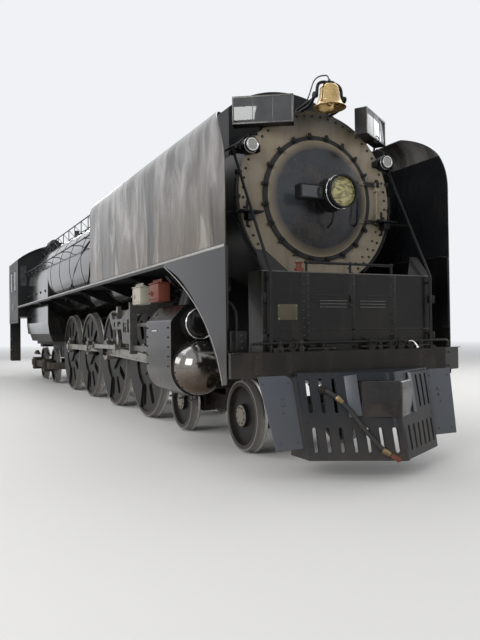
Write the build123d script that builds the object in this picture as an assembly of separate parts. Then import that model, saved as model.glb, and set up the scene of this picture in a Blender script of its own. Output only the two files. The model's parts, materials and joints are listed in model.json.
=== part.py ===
from build123d import *
import math
import os

os.makedirs("parts", exist_ok=True)

# Whole engine: millimetres, front towards -Y, engineer's side at -X, zero height at the flange tips
overall_length = 20900
nose_to_first_driver = 6250
side_face = 1600
side_sheet = 12
running_gap = 0.5
work_gap = 6

# Wheels and axles
flange_depth = 28
flange_width = 32
back_to_back = 1360
tyre_width = 140
tyre_thickness = 76
driver_diameter = 2032
driver_spacing = 2235
lead_diameter = 914
lead_wheelbase = 2184
lead_to_driver = 1829
trailing_diameter = 1067
trailing_wheelbase = 2000
driver_to_trailing = 2800
driver_axle_radius = 150
truck_axle_radius = 95
driver_hub_radius = 250
truck_hub_radius = 150

# Cranks and rods
crank_radius = 406
right_crank_angle = 25
crank_pin_radius = 95
main_pin_radius = 118
crank_face = 850
side_rod_inner = 870
side_rod_width = 115
rod_plane_gap = 10
main_rod_width = 110
main_rod_length = 3680
valve_plane_width = 65
eccentric_radius = 280
eccentric_pin_radius = 42
eccentric_rod_width = 50
eccentric_rod_length = 1700
side_rod_depth = 130
side_rod_eye = 160
main_eye_radius = 205
wrist_eye_radius = 112
main_rod_depth = 190

# Valve gear
link_pivot_reach = 660
link_pivot_height = 1750
link_foot_drop = 450

# Cylinders and valve chests
cylinder_centre_x = 1175
cylinder_height = 1098
cylinder_radius = 395
cylinder_front = 3430
cylinder_length = 1040
valve_height = 1690
valve_radius = 262
valve_cover_radius = 215
dome_radius = 372
dome_length = 270
piston_rod_radius = 48
crosshead_height = 330
guide_depth = 90
guide_width = 130
guide_end_reach = 700

# Boiler
boiler_height = 3254
smokebox_radius = 1100
smokebox_front_reach = 4590
smokebox_length = 3290
smokebox_wall = 22
front_ring_radius = 1120
front_ring_thickness = 30
door_radius = 798
door_dish = 150
door_wall = 16
door_opening_radius = 740
door_hinge_x = 905
throat_behind_driver = 1145
barrel_front_radius = 1150
barrel_rear_radius = 1270
backhead_in_cab = 250
firebox_half_width = 1270
mud_ring_height = 1560

# Engine bed
bed_half_width = 540
bed_bar_width = 120
bed_top = 1330
bed_depth = 600
front_bed_depth = 325
rear_bed_depth = 150

# Running boards, skirts and deflectors
board_height = 2530
board_thickness = 10
board_edge = 70
skirt_rear_reach = 3280
skirt_foot_height = 1010
deflector_front_reach = 5250
deflector_rear_reach = 1030
deflector_top = 4190
deflector_bend = 330

# Cab
cab_front_reach = 11900
cab_length = 2520
cab_wall = 20
cab_floor_height = 2180
cab_eaves = 4150
cab_roof_rise = 560
cab_foot = 1950

# Pilot and beam
beam_front_reach = 5480
beam_depth = 270
beam_top = 1345
beam_thickness = 160
shield_front_reach = 5340
shield_half_width = 1203
shield_top = 2245
pilot_foot = 110
pilot_wall = 28

# Truck frames
truck_swing = 4

# Stations and heights worked out from the sizes above
front_y = -overall_length / 2
rear_y = overall_length / 2
first_driver_y = front_y + nose_to_first_driver
driver_radius = driver_diameter / 2
driver_z = driver_radius + flange_depth
lead_z = lead_diameter / 2 + flange_depth
trailing_z = trailing_diameter / 2 + flange_depth
driver_ys = [first_driver_y + i * driver_spacing for i in range(4)]
lead_ys = [first_driver_y - lead_to_driver - lead_wheelbase, first_driver_y - lead_to_driver]
trailing_front_y = driver_ys[3] + driver_to_trailing
trailing_ys = [trailing_front_y, trailing_front_y + trailing_wheelbase]
lead_pivot_y = (lead_ys[0] + lead_ys[1]) / 2
wheel_inner = back_to_back / 2
wheel_outer = wheel_inner + tyre_width
side_rod_outer = side_rod_inner + side_rod_width
main_rod_inner = side_rod_outer + rod_plane_gap
main_rod_outer = main_rod_inner + main_rod_width
valve_inner = main_rod_outer + rod_plane_gap
valve_outer = valve_inner + valve_plane_width
eccentric_inner = valve_outer + rod_plane_gap
eccentric_outer = eccentric_inner + eccentric_rod_width
smokebox_front_y = first_driver_y - smokebox_front_reach
smokebox_rear_y = smokebox_front_y + smokebox_length
barrel_rear_y = driver_ys[3] + throat_behind_driver
barrel_length = barrel_rear_y - smokebox_rear_y
cab_front_y = first_driver_y + cab_front_reach
firebox_rear_y = cab_front_y + backhead_in_cab
firebox_length = firebox_rear_y - barrel_rear_y
cab_rear_y = cab_front_y + cab_length
cylinder_front_y = first_driver_y - cylinder_front
cylinder_rear_y = cylinder_front_y + cylinder_length
beam_front_y = first_driver_y - beam_front_reach
shield_y = first_driver_y - shield_front_reach
deflector_front_y = first_driver_y - deflector_front_reach
deflector_rear_y = first_driver_y + deflector_rear_reach
skirt_rear_y = first_driver_y - skirt_rear_reach
link_pivot_y = first_driver_y + link_pivot_reach
link_pivot_z = link_pivot_height
bed_bottom = bed_top - bed_depth
front_bed_bottom = bed_top - front_bed_depth
rear_bed_bottom = bed_top - rear_bed_depth


# Shapes used by many pieces
def block(x0, x1, y0, y1, z0, z1):
    centre = ((x0 + x1) / 2, (y0 + y1) / 2, (z0 + z1) / 2)
    return Pos(*centre) * Box(abs(x1 - x0), abs(y1 - y0), abs(z1 - z0))


def bar_x(y, z, radius, x0, x1):
    return Pos((x0 + x1) / 2, y, z) * Rot(0, 90, 0) * Cylinder(radius, abs(x1 - x0))


def bar_y(x, z, radius, y0, y1):
    return Pos(x, (y0 + y1) / 2, z) * Rot(90, 0, 0) * Cylinder(radius, abs(y1 - y0))


def bar_z(x, y, radius, z0, z1):
    return Pos(x, y, (z0 + z1) / 2) * Cylinder(radius, abs(z1 - z0))


def rod_between(start, end, radius):
    axis = Vector(*end) - Vector(*start)
    plane = Plane(origin=start, z_dir=axis)
    return extrude(plane * Circle(radius), axis.length)


def side_profile(points, x0, x1):
    outline = Plane.YZ * make_face(Polyline(*points, close=True))
    return Pos(min(x0, x1), 0, 0) * extrude(outline, abs(x1 - x0))


def cross_profile(points, y0, y1):
    outline = make_face(Polyline(*[(x, 0, z) for x, z in points], close=True))
    return Pos(0, min(y0, y1), 0) * extrude(outline, abs(y1 - y0), dir=(0, 1, 0))


def both_sides(shape):
    return shape + mirror(shape, about=Plane.YZ)


def link_bar(start, end, start_radius, end_radius, x0, x1):
    hull = make_hull(
        (Pos(*start) * Circle(start_radius)).edges() + (Pos(*end) * Circle(end_radius)).edges()
    )
    return Pos(min(x0, x1), 0, 0) * extrude(Plane.YZ * hull, abs(x1 - x0))


def save(shape, node):
    export_step(shape, f"parts/{node}.step")


def on_side(shape, side):
    return shape if side > 0 else mirror(shape, about=Plane.YZ)


def save_group(shapes, node):
    save(Compound(children=[solid for shape in shapes for solid in shape.solids()]), node)


def save_pair(shape, node):
    save_group([shape, mirror(shape, about=Plane.YZ)], node)


# Crank pins stand forward of the axle and up by the crank angle; the left side leads by a quarter turn
def pin_offset(radius, angle):
    a = math.radians(angle)
    return (-radius * math.cos(a), radius * math.sin(a))


side_angles = {-1: right_crank_angle, 1: right_crank_angle + 90}


# Wheel and axle turned as one piece
def wheelset(tread_radius, axle_radius, hub_radius, web_inner, web_outer, hub_face, journal_end):
    rim_radius = tread_radius - tyre_thickness
    flange_radius = tread_radius + flange_depth
    hub_start = wheel_inner - 20
    half = [
        (hub_start, axle_radius),
        (hub_start, hub_radius),
        (web_inner, hub_radius),
        (web_inner + 14, rim_radius),
        (wheel_inner, rim_radius),
        (wheel_inner, flange_radius - 10),
        (wheel_inner + flange_width / 3, flange_radius),
        (wheel_inner + flange_width * 0.6, flange_radius - 6),
        (wheel_inner + flange_width, tread_radius),
        (wheel_outer, tread_radius - 6),
        (wheel_outer, rim_radius),
        (web_outer, rim_radius),
        (web_outer + 14, hub_radius),
        (hub_face, hub_radius),
        (hub_face, axle_radius),
        (journal_end, axle_radius),
        (journal_end, 0),
    ]
    outline = half + [(-x, r) for x, r in reversed(half)]
    return revolve(make_face(Polyline(*outline, close=True)), axis=Axis.X)


def driver(main):
    shape = wheelset(
        driver_radius, driver_axle_radius, driver_hub_radius, 712, 792, crank_face - 30, crank_face
    )
    hole = SlotCenterToCenter(230, 170)
    hole_circle = 640
    cutters = []
    added = []
    for side in (-1, 1):
        angle = side_angles[side]
        dy, dz = pin_offset(crank_radius, angle)
        back = math.degrees(math.atan2(-dz, -dy))
        for i in range(10):
            turn = back + 18 + i * 36
            hy = hole_circle * math.cos(math.radians(turn))
            hz = hole_circle * math.sin(math.radians(turn))
            cutter = Plane.YZ * Pos(hy, hz) * Rot(0, 0, turn) * hole
            cutters.append(Pos(side * 760, 0, 0) * extrude(cutter, 90, both=True))
        arc = []
        for radius, turns in ((driver_radius - tyre_thickness, (-46, 0, 46)), (470, (46, 0, -46))):
            for t in turns:
                a = math.radians(back + t)
                arc.append((radius * math.cos(a), radius * math.sin(a)))
        outline = ThreePointArc(*arc[:3]) + Line(arc[2], arc[3]) + ThreePointArc(*arc[3:]) + Line(arc[5], arc[0])
        weight = extrude(Plane.YZ * make_face(outline), 60, both=True)
        added.append(Pos(side * (crank_face - 70), 0, 0) * weight)
        boss = link_bar((0, 0), (dy, dz), driver_hub_radius, 185, 780, crank_face)
        if main:
            pin = bar_x(dy, dz, main_pin_radius, crank_face, valve_inner)
            ey, ez = pin_offset(eccentric_radius, angle + 90)
            arm = link_bar((dy, dz), (ey, ez), 105, 72, valve_inner, valve_outer)
            stub = bar_x(ey, ez, eccentric_pin_radius, valve_outer, eccentric_outer + 3)
            cap = bar_x(ey, ez, eccentric_pin_radius + 14, eccentric_outer + 3, eccentric_outer + 14)
            crank = [boss, pin, arm, stub, cap]
        else:
            pin = bar_x(dy, dz, crank_pin_radius, crank_face, side_rod_outer + 1)
            cap = bar_x(dy, dz, crank_pin_radius + 26, side_rod_outer + 1, side_rod_outer + 5)
            crank = [boss, pin, cap]
        added += crank if side > 0 else [mirror(piece, about=Plane.YZ) for piece in crank]
    return (shape - cutters) + added


plain_driver = driver(False)
main_driver = driver(True)
for number, y in enumerate(driver_ys, start=1):
    wheels = main_driver if number == 2 else plain_driver
    save(Pos(0, y, driver_z) * wheels, f"driver_{number}_wheelset")

lead_wheelset = wheelset(
    lead_diameter / 2, truck_axle_radius, truck_hub_radius, 725, 765, wheel_outer + 10, wheel_outer + 16
)
for i, y in enumerate(lead_ys, start=1):
    save(Pos(0, y, lead_z) * lead_wheelset, f"lead_{i}_wheelset")

trailing_journal = 1120
trailing_wheelset = wheelset(
    trailing_diameter / 2, truck_axle_radius, truck_hub_radius, 725, 765, wheel_outer + 10, trailing_journal
)
for i, y in enumerate(trailing_ys, start=1):
    save(Pos(0, y, trailing_z) * trailing_wheelset, f"trailing_{i}_wheelset")


# Rods: each lies in its own plane outside the wheels
def flute(y0, z0, y1, z1, depth, x_face, bite):
    length = math.hypot(y1 - y0, z1 - z0)
    turn = math.degrees(math.atan2(z1 - z0, y1 - y0))
    groove = Plane.YZ * Pos((y0 + y1) / 2, (z0 + z1) / 2) * Rot(0, 0, turn) * SlotOverall(length, depth)
    return Pos(x_face, 0, 0) * extrude(groove, bite, both=True)


foot_ys = {}
guides = []
crossheads = []
for side, name in ((-1, "right"), (1, "left")):
    dy, dz = pin_offset(crank_radius, side_angles[side])
    pin_z = driver_z + dz
    pin_ys = [y + dy for y in driver_ys]
    bar = block(
        side_rod_inner + 22, side_rod_outer - 22, pin_ys[0], pin_ys[3],
        pin_z - side_rod_depth / 2, pin_z + side_rod_depth / 2,
    )
    eyes = []
    bores = []
    flutes = []
    for i, y in enumerate(pin_ys):
        eye_radius = side_rod_eye + (28 if i == 1 else 0)
        bore = main_pin_radius if i == 1 else crank_pin_radius
        eyes.append(bar_x(y, pin_z, eye_radius, side_rod_inner, side_rod_outer))
        bores.append(bar_x(y, pin_z, bore + running_gap, side_rod_inner - 5, side_rod_outer + 5))
    for y in pin_ys[1:3]:
        knuckle = y + (320 if y == pin_ys[1] else 0)
        eyes.append(bar_x(knuckle, pin_z, 92, side_rod_inner + 8, side_rod_outer - 8))
    for y0, y1 in zip(pin_ys, pin_ys[1:]):
        for x_face in (side_rod_inner + 22, side_rod_outer - 22):
            start = y0 + (430 if y0 == pin_ys[1] else 230)
            flutes.append(flute(start, pin_z, y1 - 230, pin_z, side_rod_depth - 50, x_face, 16))
    rod = ((bar - flutes) + eyes) - bores
    save(on_side(rod, side), f"side_rod_{name}")

    crank_y = driver_ys[1] + dy
    wrist_z = cylinder_height
    wrist_y = crank_y - math.sqrt(main_rod_length**2 - (pin_z - wrist_z) ** 2)
    half = main_rod_depth / 2
    taper = [
        (wrist_y, wrist_z - half * 0.72),
        (crank_y, pin_z - half),
        (crank_y, pin_z + half),
        (wrist_y, wrist_z + half * 0.72),
    ]
    shank = side_profile(taper, main_rod_inner + 18, main_rod_outer - 18)
    flutes = []
    slope = (pin_z - wrist_z) / (crank_y - wrist_y)
    for x_face in (main_rod_inner + 18, main_rod_outer - 18):
        y0 = wrist_y + 260
        y1 = crank_y - 360
        z0 = wrist_z + slope * 260
        z1 = pin_z - slope * 360
        flutes.append(flute(y0, z0, y1, z1, main_rod_depth - 90, x_face, 18))
    eyes = [
        bar_x(crank_y, pin_z, main_eye_radius, main_rod_inner, main_rod_outer),
        bar_x(wrist_y, wrist_z, wrist_eye_radius, main_rod_inner, main_rod_outer),
    ]
    bore = bar_x(crank_y, pin_z, main_pin_radius + running_gap, main_rod_inner - 5, main_rod_outer + 5)
    rod = ((shank - flutes) + eyes) - bore
    rod += bar_x(wrist_y, wrist_z, 62, main_rod_outer, main_rod_outer + 4)
    save(on_side(rod, side), f"main_rod_{name}")

    ey, ez = pin_offset(eccentric_radius, side_angles[side] + 90)
    ecc_y = driver_ys[1] + ey
    ecc_z = driver_z + ez
    foot_z = link_pivot_z - link_foot_drop
    foot_y = ecc_y - math.sqrt(eccentric_rod_length**2 - (ecc_z - foot_z) ** 2)
    foot_ys[side] = foot_y
    shank = side_profile(
        [(foot_y, foot_z - 38), (ecc_y, ecc_z - 46), (ecc_y, ecc_z + 46), (foot_y, foot_z + 38)],
        eccentric_inner + 8, eccentric_outer - 8,
    )
    eyes = [
        bar_x(ecc_y, ecc_z, 88, eccentric_inner, eccentric_outer),
        bar_x(foot_y, foot_z, 66, eccentric_inner, eccentric_outer),
    ]
    bore = bar_x(ecc_y, ecc_z, eccentric_pin_radius + running_gap, eccentric_inner - 5, eccentric_outer + 5)
    rod = (shank + eyes) - bore
    rod += bar_x(foot_y, foot_z, 34, eccentric_inner - 5, eccentric_inner)
    save(on_side(rod, side), f"eccentric_rod_{name}")

    # Crosshead cheek, piston rod and guide stand outside the main rod's plane
    cheek_inner = valve_inner
    guide_bottom = cylinder_height + crosshead_height / 2
    guide_top = guide_bottom + guide_depth
    guide_inner = cheek_inner + 20
    guide_outer = guide_inner + guide_width
    guide_rear_y = first_driver_y - guide_end_reach
    guide = block(guide_inner, guide_outer, cylinder_rear_y, guide_rear_y, guide_bottom, guide_top)
    slots = [
        block(guide_inner + 25, guide_outer - 25, y - 140, y + 140, guide_bottom - 1, guide_top + 1)
        for y in (cylinder_rear_y + 300, guide_rear_y - 260)
    ]
    guides.append(on_side(guide - slots, side))
    cheek = side_profile(
        [
            (wrist_y - 240, cylinder_height - 85),
            (wrist_y - 120, cylinder_height - 165),
            (wrist_y + 120, cylinder_height - 165),
            (wrist_y + 240, cylinder_height - 40),
            (wrist_y + 240, guide_bottom),
            (wrist_y - 240, guide_bottom),
        ],
        cheek_inner, guide_outer + 14,
    )
    outer = block(
        guide_outer, guide_outer + 14, wrist_y - 240, wrist_y + 240, guide_bottom, guide_top + 34
    )
    cap = block(cheek_inner, guide_outer, wrist_y - 240, wrist_y + 240, guide_top, guide_top + 34)
    nut = bar_x(wrist_y, cylinder_height, 70, guide_outer + 14, guide_outer + 34)
    neck = bar_y(cylinder_centre_x, cylinder_height, 82, wrist_y - 330, wrist_y - 230)
    piston = bar_y(cylinder_centre_x, cylinder_height, piston_rod_radius, cylinder_rear_y - 1, wrist_y - 230)
    head = cheek + [outer, cap, nut, neck, piston]
    crossheads.append(on_side(head, side))
save_group(crossheads, "crossheads")


# Boiler solids come first, because much of the engine is cut to sit on them
smokebox_body = bar_y(0, boiler_height, smokebox_radius, smokebox_front_y, smokebox_rear_y)
barrel_outline = [
    (0, smokebox_rear_y),
    (smokebox_radius - 30, smokebox_rear_y),
    (barrel_front_radius - 30, smokebox_rear_y),
    (barrel_front_radius, smokebox_rear_y + 30),
    (barrel_rear_radius, barrel_rear_y),
    (0, barrel_rear_y),
]
barrel_face = make_face(Polyline(*barrel_outline, close=True))
barrel = Pos(0, 0, boiler_height) * revolve(barrel_face, axis=Axis.Y)
firebox_top = make_face(
    ThreePointArc(
        (-firebox_half_width, 0, boiler_height),
        (0, 0, boiler_height + firebox_half_width),
        (firebox_half_width, 0, boiler_height),
    )
    + Polyline(
        (firebox_half_width, 0, boiler_height),
        (firebox_half_width, 0, mud_ring_height + 300),
        (firebox_half_width - 40, 0, mud_ring_height),
        (-firebox_half_width + 40, 0, mud_ring_height),
        (-firebox_half_width, 0, mud_ring_height + 300),
        (-firebox_half_width, 0, boiler_height),
    )
)
firebox = Pos(0, barrel_rear_y, 0) * extrude(firebox_top, firebox_length, dir=(0, 1, 0))
band_width = 60
band_rise = 5
bands = []
for i in range(7):
    y = smokebox_rear_y + 1200 + i * 1250
    share = (y - smokebox_rear_y) / barrel_length
    radius = barrel_front_radius + share * (barrel_rear_radius - barrel_front_radius) + band_rise + 2
    bands.append(bar_y(0, boiler_height, radius, y, y + band_width))
save(barrel + bands, "boiler_barrel")
save(firebox, "firebox_jacket")

# Smokebox: an open drum with a tube plate at its back and a ring that carries the door
drum_inner = bar_y(0, boiler_height, smokebox_radius - smokebox_wall, smokebox_front_y - 1, smokebox_rear_y - 40)
smokebox_drum = smokebox_body - drum_inner
save(smokebox_drum, "smokebox_drum")
ring_front_y = smokebox_front_y - front_ring_thickness
ring_plate = bar_y(0, boiler_height, front_ring_radius, ring_front_y, smokebox_front_y)
ring_plate -= bar_y(0, boiler_height, door_opening_radius, ring_front_y - 1, smokebox_front_y + 1)
lugs = []
for z in (boiler_height - 190, boiler_height + 190):
    lug = block(door_hinge_x - 34, door_hinge_x + 34, ring_front_y - 70, ring_front_y, z - 30, z + 30)
    lug -= bar_z(door_hinge_x, ring_front_y - 45, 14 + running_gap, z - 40, z + 40)
    lugs.append(lug)
save(ring_plate + lugs, "smokebox_front_ring")

# Smokebox door: a dished shell with a rim, hinge straps and clamps round its edge
door_face_y = ring_front_y - running_gap
dish = [
    (0, -door_dish),
    (0, -door_dish + door_wall),
]
outer_arc = ThreePointArc((0, -door_dish), (door_radius * 0.55, -door_dish * 0.74), (door_radius - 70, -34))
rim = Polyline((door_radius - 70, -34), (door_radius, -28), (door_radius, 0), (door_radius - 90, 0))
inner_arc = ThreePointArc(
    (door_radius - 90, 0), (door_radius * 0.53, -door_dish * 0.74 + door_wall + 4), (0, -door_dish + door_wall)
)
door_section = make_face(outer_arc + rim + inner_arc + Line((0, -door_dish + door_wall), (0, -door_dish)))
door = Pos(0, door_face_y, boiler_height) * revolve(door_section, axis=Axis.Y)
clamps = []
clamp_count = 20
for i in range(clamp_count):
    turn = 360 / clamp_count * (i + 0.5)
    if turn < 20 or turn > 340:
        continue
    finger = block(door_radius - 50, door_radius + 34, door_face_y - 52, door_face_y - 28, -17, 17)
    stud = bar_y(door_radius - 22, 0, 13, door_face_y - 76, door_face_y - 30)
    foot = block(door_radius + 4, door_radius + 34, door_face_y - 30, door_face_y, -17, 17)
    clamp = finger + [stud, foot]
    clamps.append(Pos(0, 0, boiler_height) * Rot(0, -turn, 0) * clamp)
straps = []
for z in (boiler_height - 250, boiler_height + 250):
    straps.append(block(door_radius - 240, door_hinge_x + 4, door_face_y - 62, door_face_y - 34, z - 24, z + 24))
    straps.append(bar_z(door_hinge_x, ring_front_y - 45, 27, z - 29, z + 29))
pin = bar_z(door_hinge_x, ring_front_y - 45, 14, boiler_height - 279, boiler_height + 279)
boss = bar_y(0, boiler_height - 10, 112, door_face_y - door_dish - 18, door_face_y - door_dish + 8)
door_node = door + clamps + straps + [pin, boss]
save(door_node, "smokebox_door")

# Headlight and its blank number box stand on the door
headlight_radius = 205
headlight_front_y = smokebox_front_y - 610
headlight_x = 0
lamp_case = bar_y(headlight_x, boiler_height - 10, headlight_radius, headlight_front_y, headlight_front_y + 300)
lamp_case -= bar_y(headlight_x, boiler_height - 10, headlight_radius - 22, headlight_front_y - 1, headlight_front_y + 60)
lamp_neck = bar_y(headlight_x, boiler_height - 10, 95, headlight_front_y + 300, door_face_y - door_dish - 18)
number_box = block(
    headlight_x - headlight_radius - 330, headlight_x - headlight_radius + 30,
    headlight_front_y + 120, headlight_front_y + 250, boiler_height - 105, boiler_height + 65,
)
headlight = lamp_case + [lamp_neck, number_box]
save(headlight, "headlight")
lens = bar_y(headlight_x, boiler_height - 10, headlight_radius - 22, headlight_front_y + 14, headlight_front_y + 60)
save(lens, "headlight_lens")

# Engine bed: two deep bars with bored axle boxes, cross ties and a drawbar pocket
bed_front_y = beam_front_y + beam_thickness
drop_y = driver_ys[0] - driver_radius - 130
lift_y = driver_ys[3] + driver_radius + 150
bed_outline = [
    (bed_front_y, bed_top),
    (rear_y, bed_top),
    (rear_y, rear_bed_bottom),
    (lift_y + 260, rear_bed_bottom),
    (lift_y, bed_bottom),
    (drop_y + 220, bed_bottom),
    (drop_y, front_bed_bottom),
    (bed_front_y, front_bed_bottom),
]
bar = side_profile(bed_outline, bed_half_width - bed_bar_width, bed_half_width)
windows = []
for y0, y1 in zip(driver_ys, driver_ys[1:]):
    middle = (y0 + y1) / 2
    window = Plane.YZ * Pos(middle, (bed_top + bed_bottom) / 2) * RectangleRounded(1180, bed_depth - 240, 120)
    windows.append(Pos(bed_half_width - bed_bar_width / 2, 0, 0) * extrude(window, bed_bar_width, both=True))
bar = bar - windows
boxes = [
    block(bed_half_width - bed_bar_width - 60, bed_half_width + 60, y - 250, y + 250, driver_z - 250, driver_z + 250)
    for y in driver_ys
]
bar = bar + boxes
inner_x = bed_half_width - bed_bar_width
ties = []
for y in (
    bed_front_y + 60, lead_pivot_y + 1300, driver_ys[0] + 1117, driver_ys[1] + 1117, driver_ys[2] + 1117,
    lift_y - 120, trailing_ys[0] + 900, trailing_ys[1] + 900,
):
    low = front_bed_bottom if y < drop_y else bed_bottom + 60 if y < lift_y else rear_bed_bottom
    ties.append(block(-inner_x, inner_x, y - 45, y + 45, low, bed_top))
pivot_radius = 62
truck_pivot_y = lift_y + 330
ties.append(block(-inner_x, inner_x, lead_pivot_y - 320, lead_pivot_y + 320, front_bed_bottom, bed_top))
ties.append(block(-inner_x, inner_x, truck_pivot_y - 260, truck_pivot_y + 260, rear_bed_bottom, bed_top))
drawbar_pin_radius = 57
drawbar_pin_y = rear_y - 260
drawbar_pocket = block(-inner_x, inner_x, rear_y - 520, rear_y, rear_bed_bottom - 120, bed_top)
ties.append(drawbar_pocket)
bores = [bar_x(y, driver_z, driver_axle_radius + running_gap, -bed_half_width - 100, bed_half_width + 100) for y in driver_ys]
bores.append(bar_z(0, lead_pivot_y, pivot_radius + running_gap, front_bed_bottom - 1, bed_top - 40))
bores.append(bar_z(0, truck_pivot_y, pivot_radius + running_gap, rear_bed_bottom - 1, bed_top - 30))
bores.append(bar_z(0, drawbar_pin_y, drawbar_pin_radius, rear_bed_bottom - 130, bed_top + 1))
mouth = block(-150, 150, rear_y - 400, rear_y + 1, rear_bed_bottom - 40, bed_top - 60)
engine_bed = (both_sides(bar) + ties) - (bores + [mouth])
save(engine_bed, "engine_bed")

# Leading truck: inside frame under a centre pin
lead_bar_outer = 440
lead_bar_width = 110
bar = block(
    lead_bar_outer - lead_bar_width, lead_bar_outer, lead_ys[0] - 260, lead_ys[1] + 260, lead_z - 90, lead_z + 130
)
boxes = [
    block(lead_bar_outer - lead_bar_width - 40, lead_bar_outer + 60, y - 170, y + 170, lead_z - 170, lead_z + 180)
    for y in lead_ys
]
truck = both_sides(bar + boxes)
plate_top = front_bed_bottom - running_gap
bolster = block(-lead_bar_outer + 5, lead_bar_outer - 5, lead_pivot_y - 220, lead_pivot_y + 220, lead_z + 20, lead_z + 260)
plate = bar_z(0, lead_pivot_y, 230, lead_z + 260, plate_top)
pin = bar_z(0, lead_pivot_y, pivot_radius, plate_top, bed_top - 60)
ends = [
    block(-lead_bar_outer, lead_bar_outer, y - 50, y + 50, lead_z + 0, lead_z + 130)
    for y in (lead_ys[0] - 230, lead_ys[1] + 230)
]
truck = truck + [bolster, plate, pin] + ends
truck -= [bar_x(y, lead_z, truck_axle_radius + running_gap, -700, 700) for y in lead_ys]
save(truck, "lead_truck_frame")

# Trailing truck: outside bars that meet at a pivot behind the last driver
trail_bar_inner = 960
trail_bar_outer = 1080
arm_low = trailing_z - 90
arm_high = trailing_z + 110
knee_y = trailing_ys[0] - trailing_diameter / 2 - 120
side_bar = block(trail_bar_inner, trail_bar_outer, knee_y, trailing_ys[1] + 900, arm_low, arm_high)
boxes = [
    block(trail_bar_inner - 60, trail_bar_outer + 70, y - 190, y + 190, trailing_z - 190, trailing_z + 200)
    for y in trailing_ys
]
rear_tie = block(-trail_bar_inner, trail_bar_inner, trailing_ys[1] + 760, trailing_ys[1] + 900, arm_low, arm_high)
arm_points = [(0, truck_pivot_y - 150), (150, truck_pivot_y - 150), (trail_bar_outer, knee_y), (trail_bar_outer, knee_y + 170), (0, truck_pivot_y + 190)]
arm = Pos(0, 0, arm_low) * extrude(make_face(Polyline(*arm_points, close=True)), arm_high - arm_low)
truck = both_sides((side_bar + boxes + arm))
head = block(-190, 190, truck_pivot_y - 150, truck_pivot_y + 190, arm_high - 10, rear_bed_bottom - running_gap)
pin = bar_z(0, truck_pivot_y, pivot_radius, rear_bed_bottom - running_gap, bed_top - 50)
truck = truck + [rear_tie, head, pin]
truck -= [bar_x(y, trailing_z, truck_axle_radius + running_gap, -1300, 1300) for y in trailing_ys]
save(truck, "trailing_truck_frame")

# Cylinders: barrel and valve chest under one jacket on each side, with a saddle between them
jacket_corners = [(1505, 1700), (1330, 1890), (1010, 1890)]
jacket_corner_radius = 62
circles = (Pos(cylinder_centre_x, cylinder_height) * Circle(cylinder_radius)).edges()
for x, z in jacket_corners:
    circles += (Pos(x, z) * Circle(jacket_corner_radius)).edges()
jacket_face = make_hull(circles)
jacket = extrude(Plane((0, cylinder_rear_y, 0), x_dir=(1, 0, 0), z_dir=(0, -1, 0)) * jacket_face, cylinder_length)
front_head = bar_y(cylinder_centre_x, cylinder_height, dome_radius, cylinder_front_y - 60, cylinder_front_y)
rear_head = bar_y(cylinder_centre_x, cylinder_height, 250, cylinder_rear_y, cylinder_rear_y + 36)
gland = bar_y(cylinder_centre_x, cylinder_height, 105, cylinder_rear_y + 36, cylinder_rear_y + 90)
valve_rear = bar_y(cylinder_centre_x, valve_height, 190, cylinder_rear_y, cylinder_rear_y + 60)
head_cut = block(valve_inner + 10, valve_inner + 180, cylinder_rear_y - 1, cylinder_rear_y + 40, cylinder_height + crosshead_height / 2, cylinder_height + crosshead_height / 2 + guide_depth)
piston_cut = bar_y(cylinder_centre_x, cylinder_height, piston_rod_radius, cylinder_rear_y - 1, cylinder_rear_y + 100)
cylinder = jacket + [front_head, rear_head, gland, valve_rear] - [head_cut, piston_cut]
cover_arc = ThreePointArc((0, -dome_length), (dome_radius * 0.72, -dome_length * 0.68), (dome_radius, 0))
cover = revolve(make_face(cover_arc + Polyline((dome_radius, 0), (0, 0), (0, -dome_length))), axis=Axis.Y)
cover = Pos(cylinder_centre_x, cylinder_front_y - 60, cylinder_height) * cover
valve_disc = bar_y(cylinder_centre_x, valve_height, valve_cover_radius, cylinder_front_y - 90, cylinder_front_y)
valve_disc -= bar_y(cylinder_centre_x, valve_height, valve_cover_radius - 30, cylinder_front_y - 91, cylinder_front_y - 66)
save_pair(cylinder, "cylinders")
save_group([on_side(shape, side) for shape in (cover, valve_disc) for side in (-1, 1)], "cylinder_end_covers")

saddle_points = [
    (-bed_half_width - 300, front_bed_bottom + 60),
    (-bed_half_width - 300, 1900),
    (-620, 2160),
    (-620, 2700),
    (620, 2700),
    (620, 2160),
    (bed_half_width + 300, 1900),
    (bed_half_width + 300, front_bed_bottom + 60),
]
saddle = cross_profile(saddle_points, cylinder_front_y + 120, cylinder_rear_y - 120)
saddle -= [smokebox_body, cylinder, mirror(cylinder, about=Plane.YZ)]
saddle -= block(-bed_half_width, bed_half_width, cylinder_front_y, cylinder_rear_y, front_bed_bottom, bed_top)
save(saddle, "cylinder_saddle")

# Pilot beam, deck and shield plate
deck_thickness = beam_top - bed_top
beam_half_width = side_face + 6
beam_chamfer = 180
beam_plan = [
    (-beam_half_width, beam_front_y + beam_thickness),
    (-beam_half_width, beam_front_y + beam_chamfer * 0.6),
    (-beam_half_width + 320, beam_front_y),
    (beam_half_width - 320, beam_front_y),
    (beam_half_width, beam_front_y + beam_chamfer * 0.6),
    (beam_half_width, beam_front_y + beam_thickness),
]
beam = Pos(0, 0, beam_top - beam_depth) * extrude(make_face(Polyline(*beam_plan, close=True)), beam_depth)
skirt_inner = side_face - side_sheet
deck = block(-skirt_inner, skirt_inner, beam_front_y + beam_thickness, cylinder_front_y - 820, bed_top, beam_top)
save(beam + deck, "pilot_beam")

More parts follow.
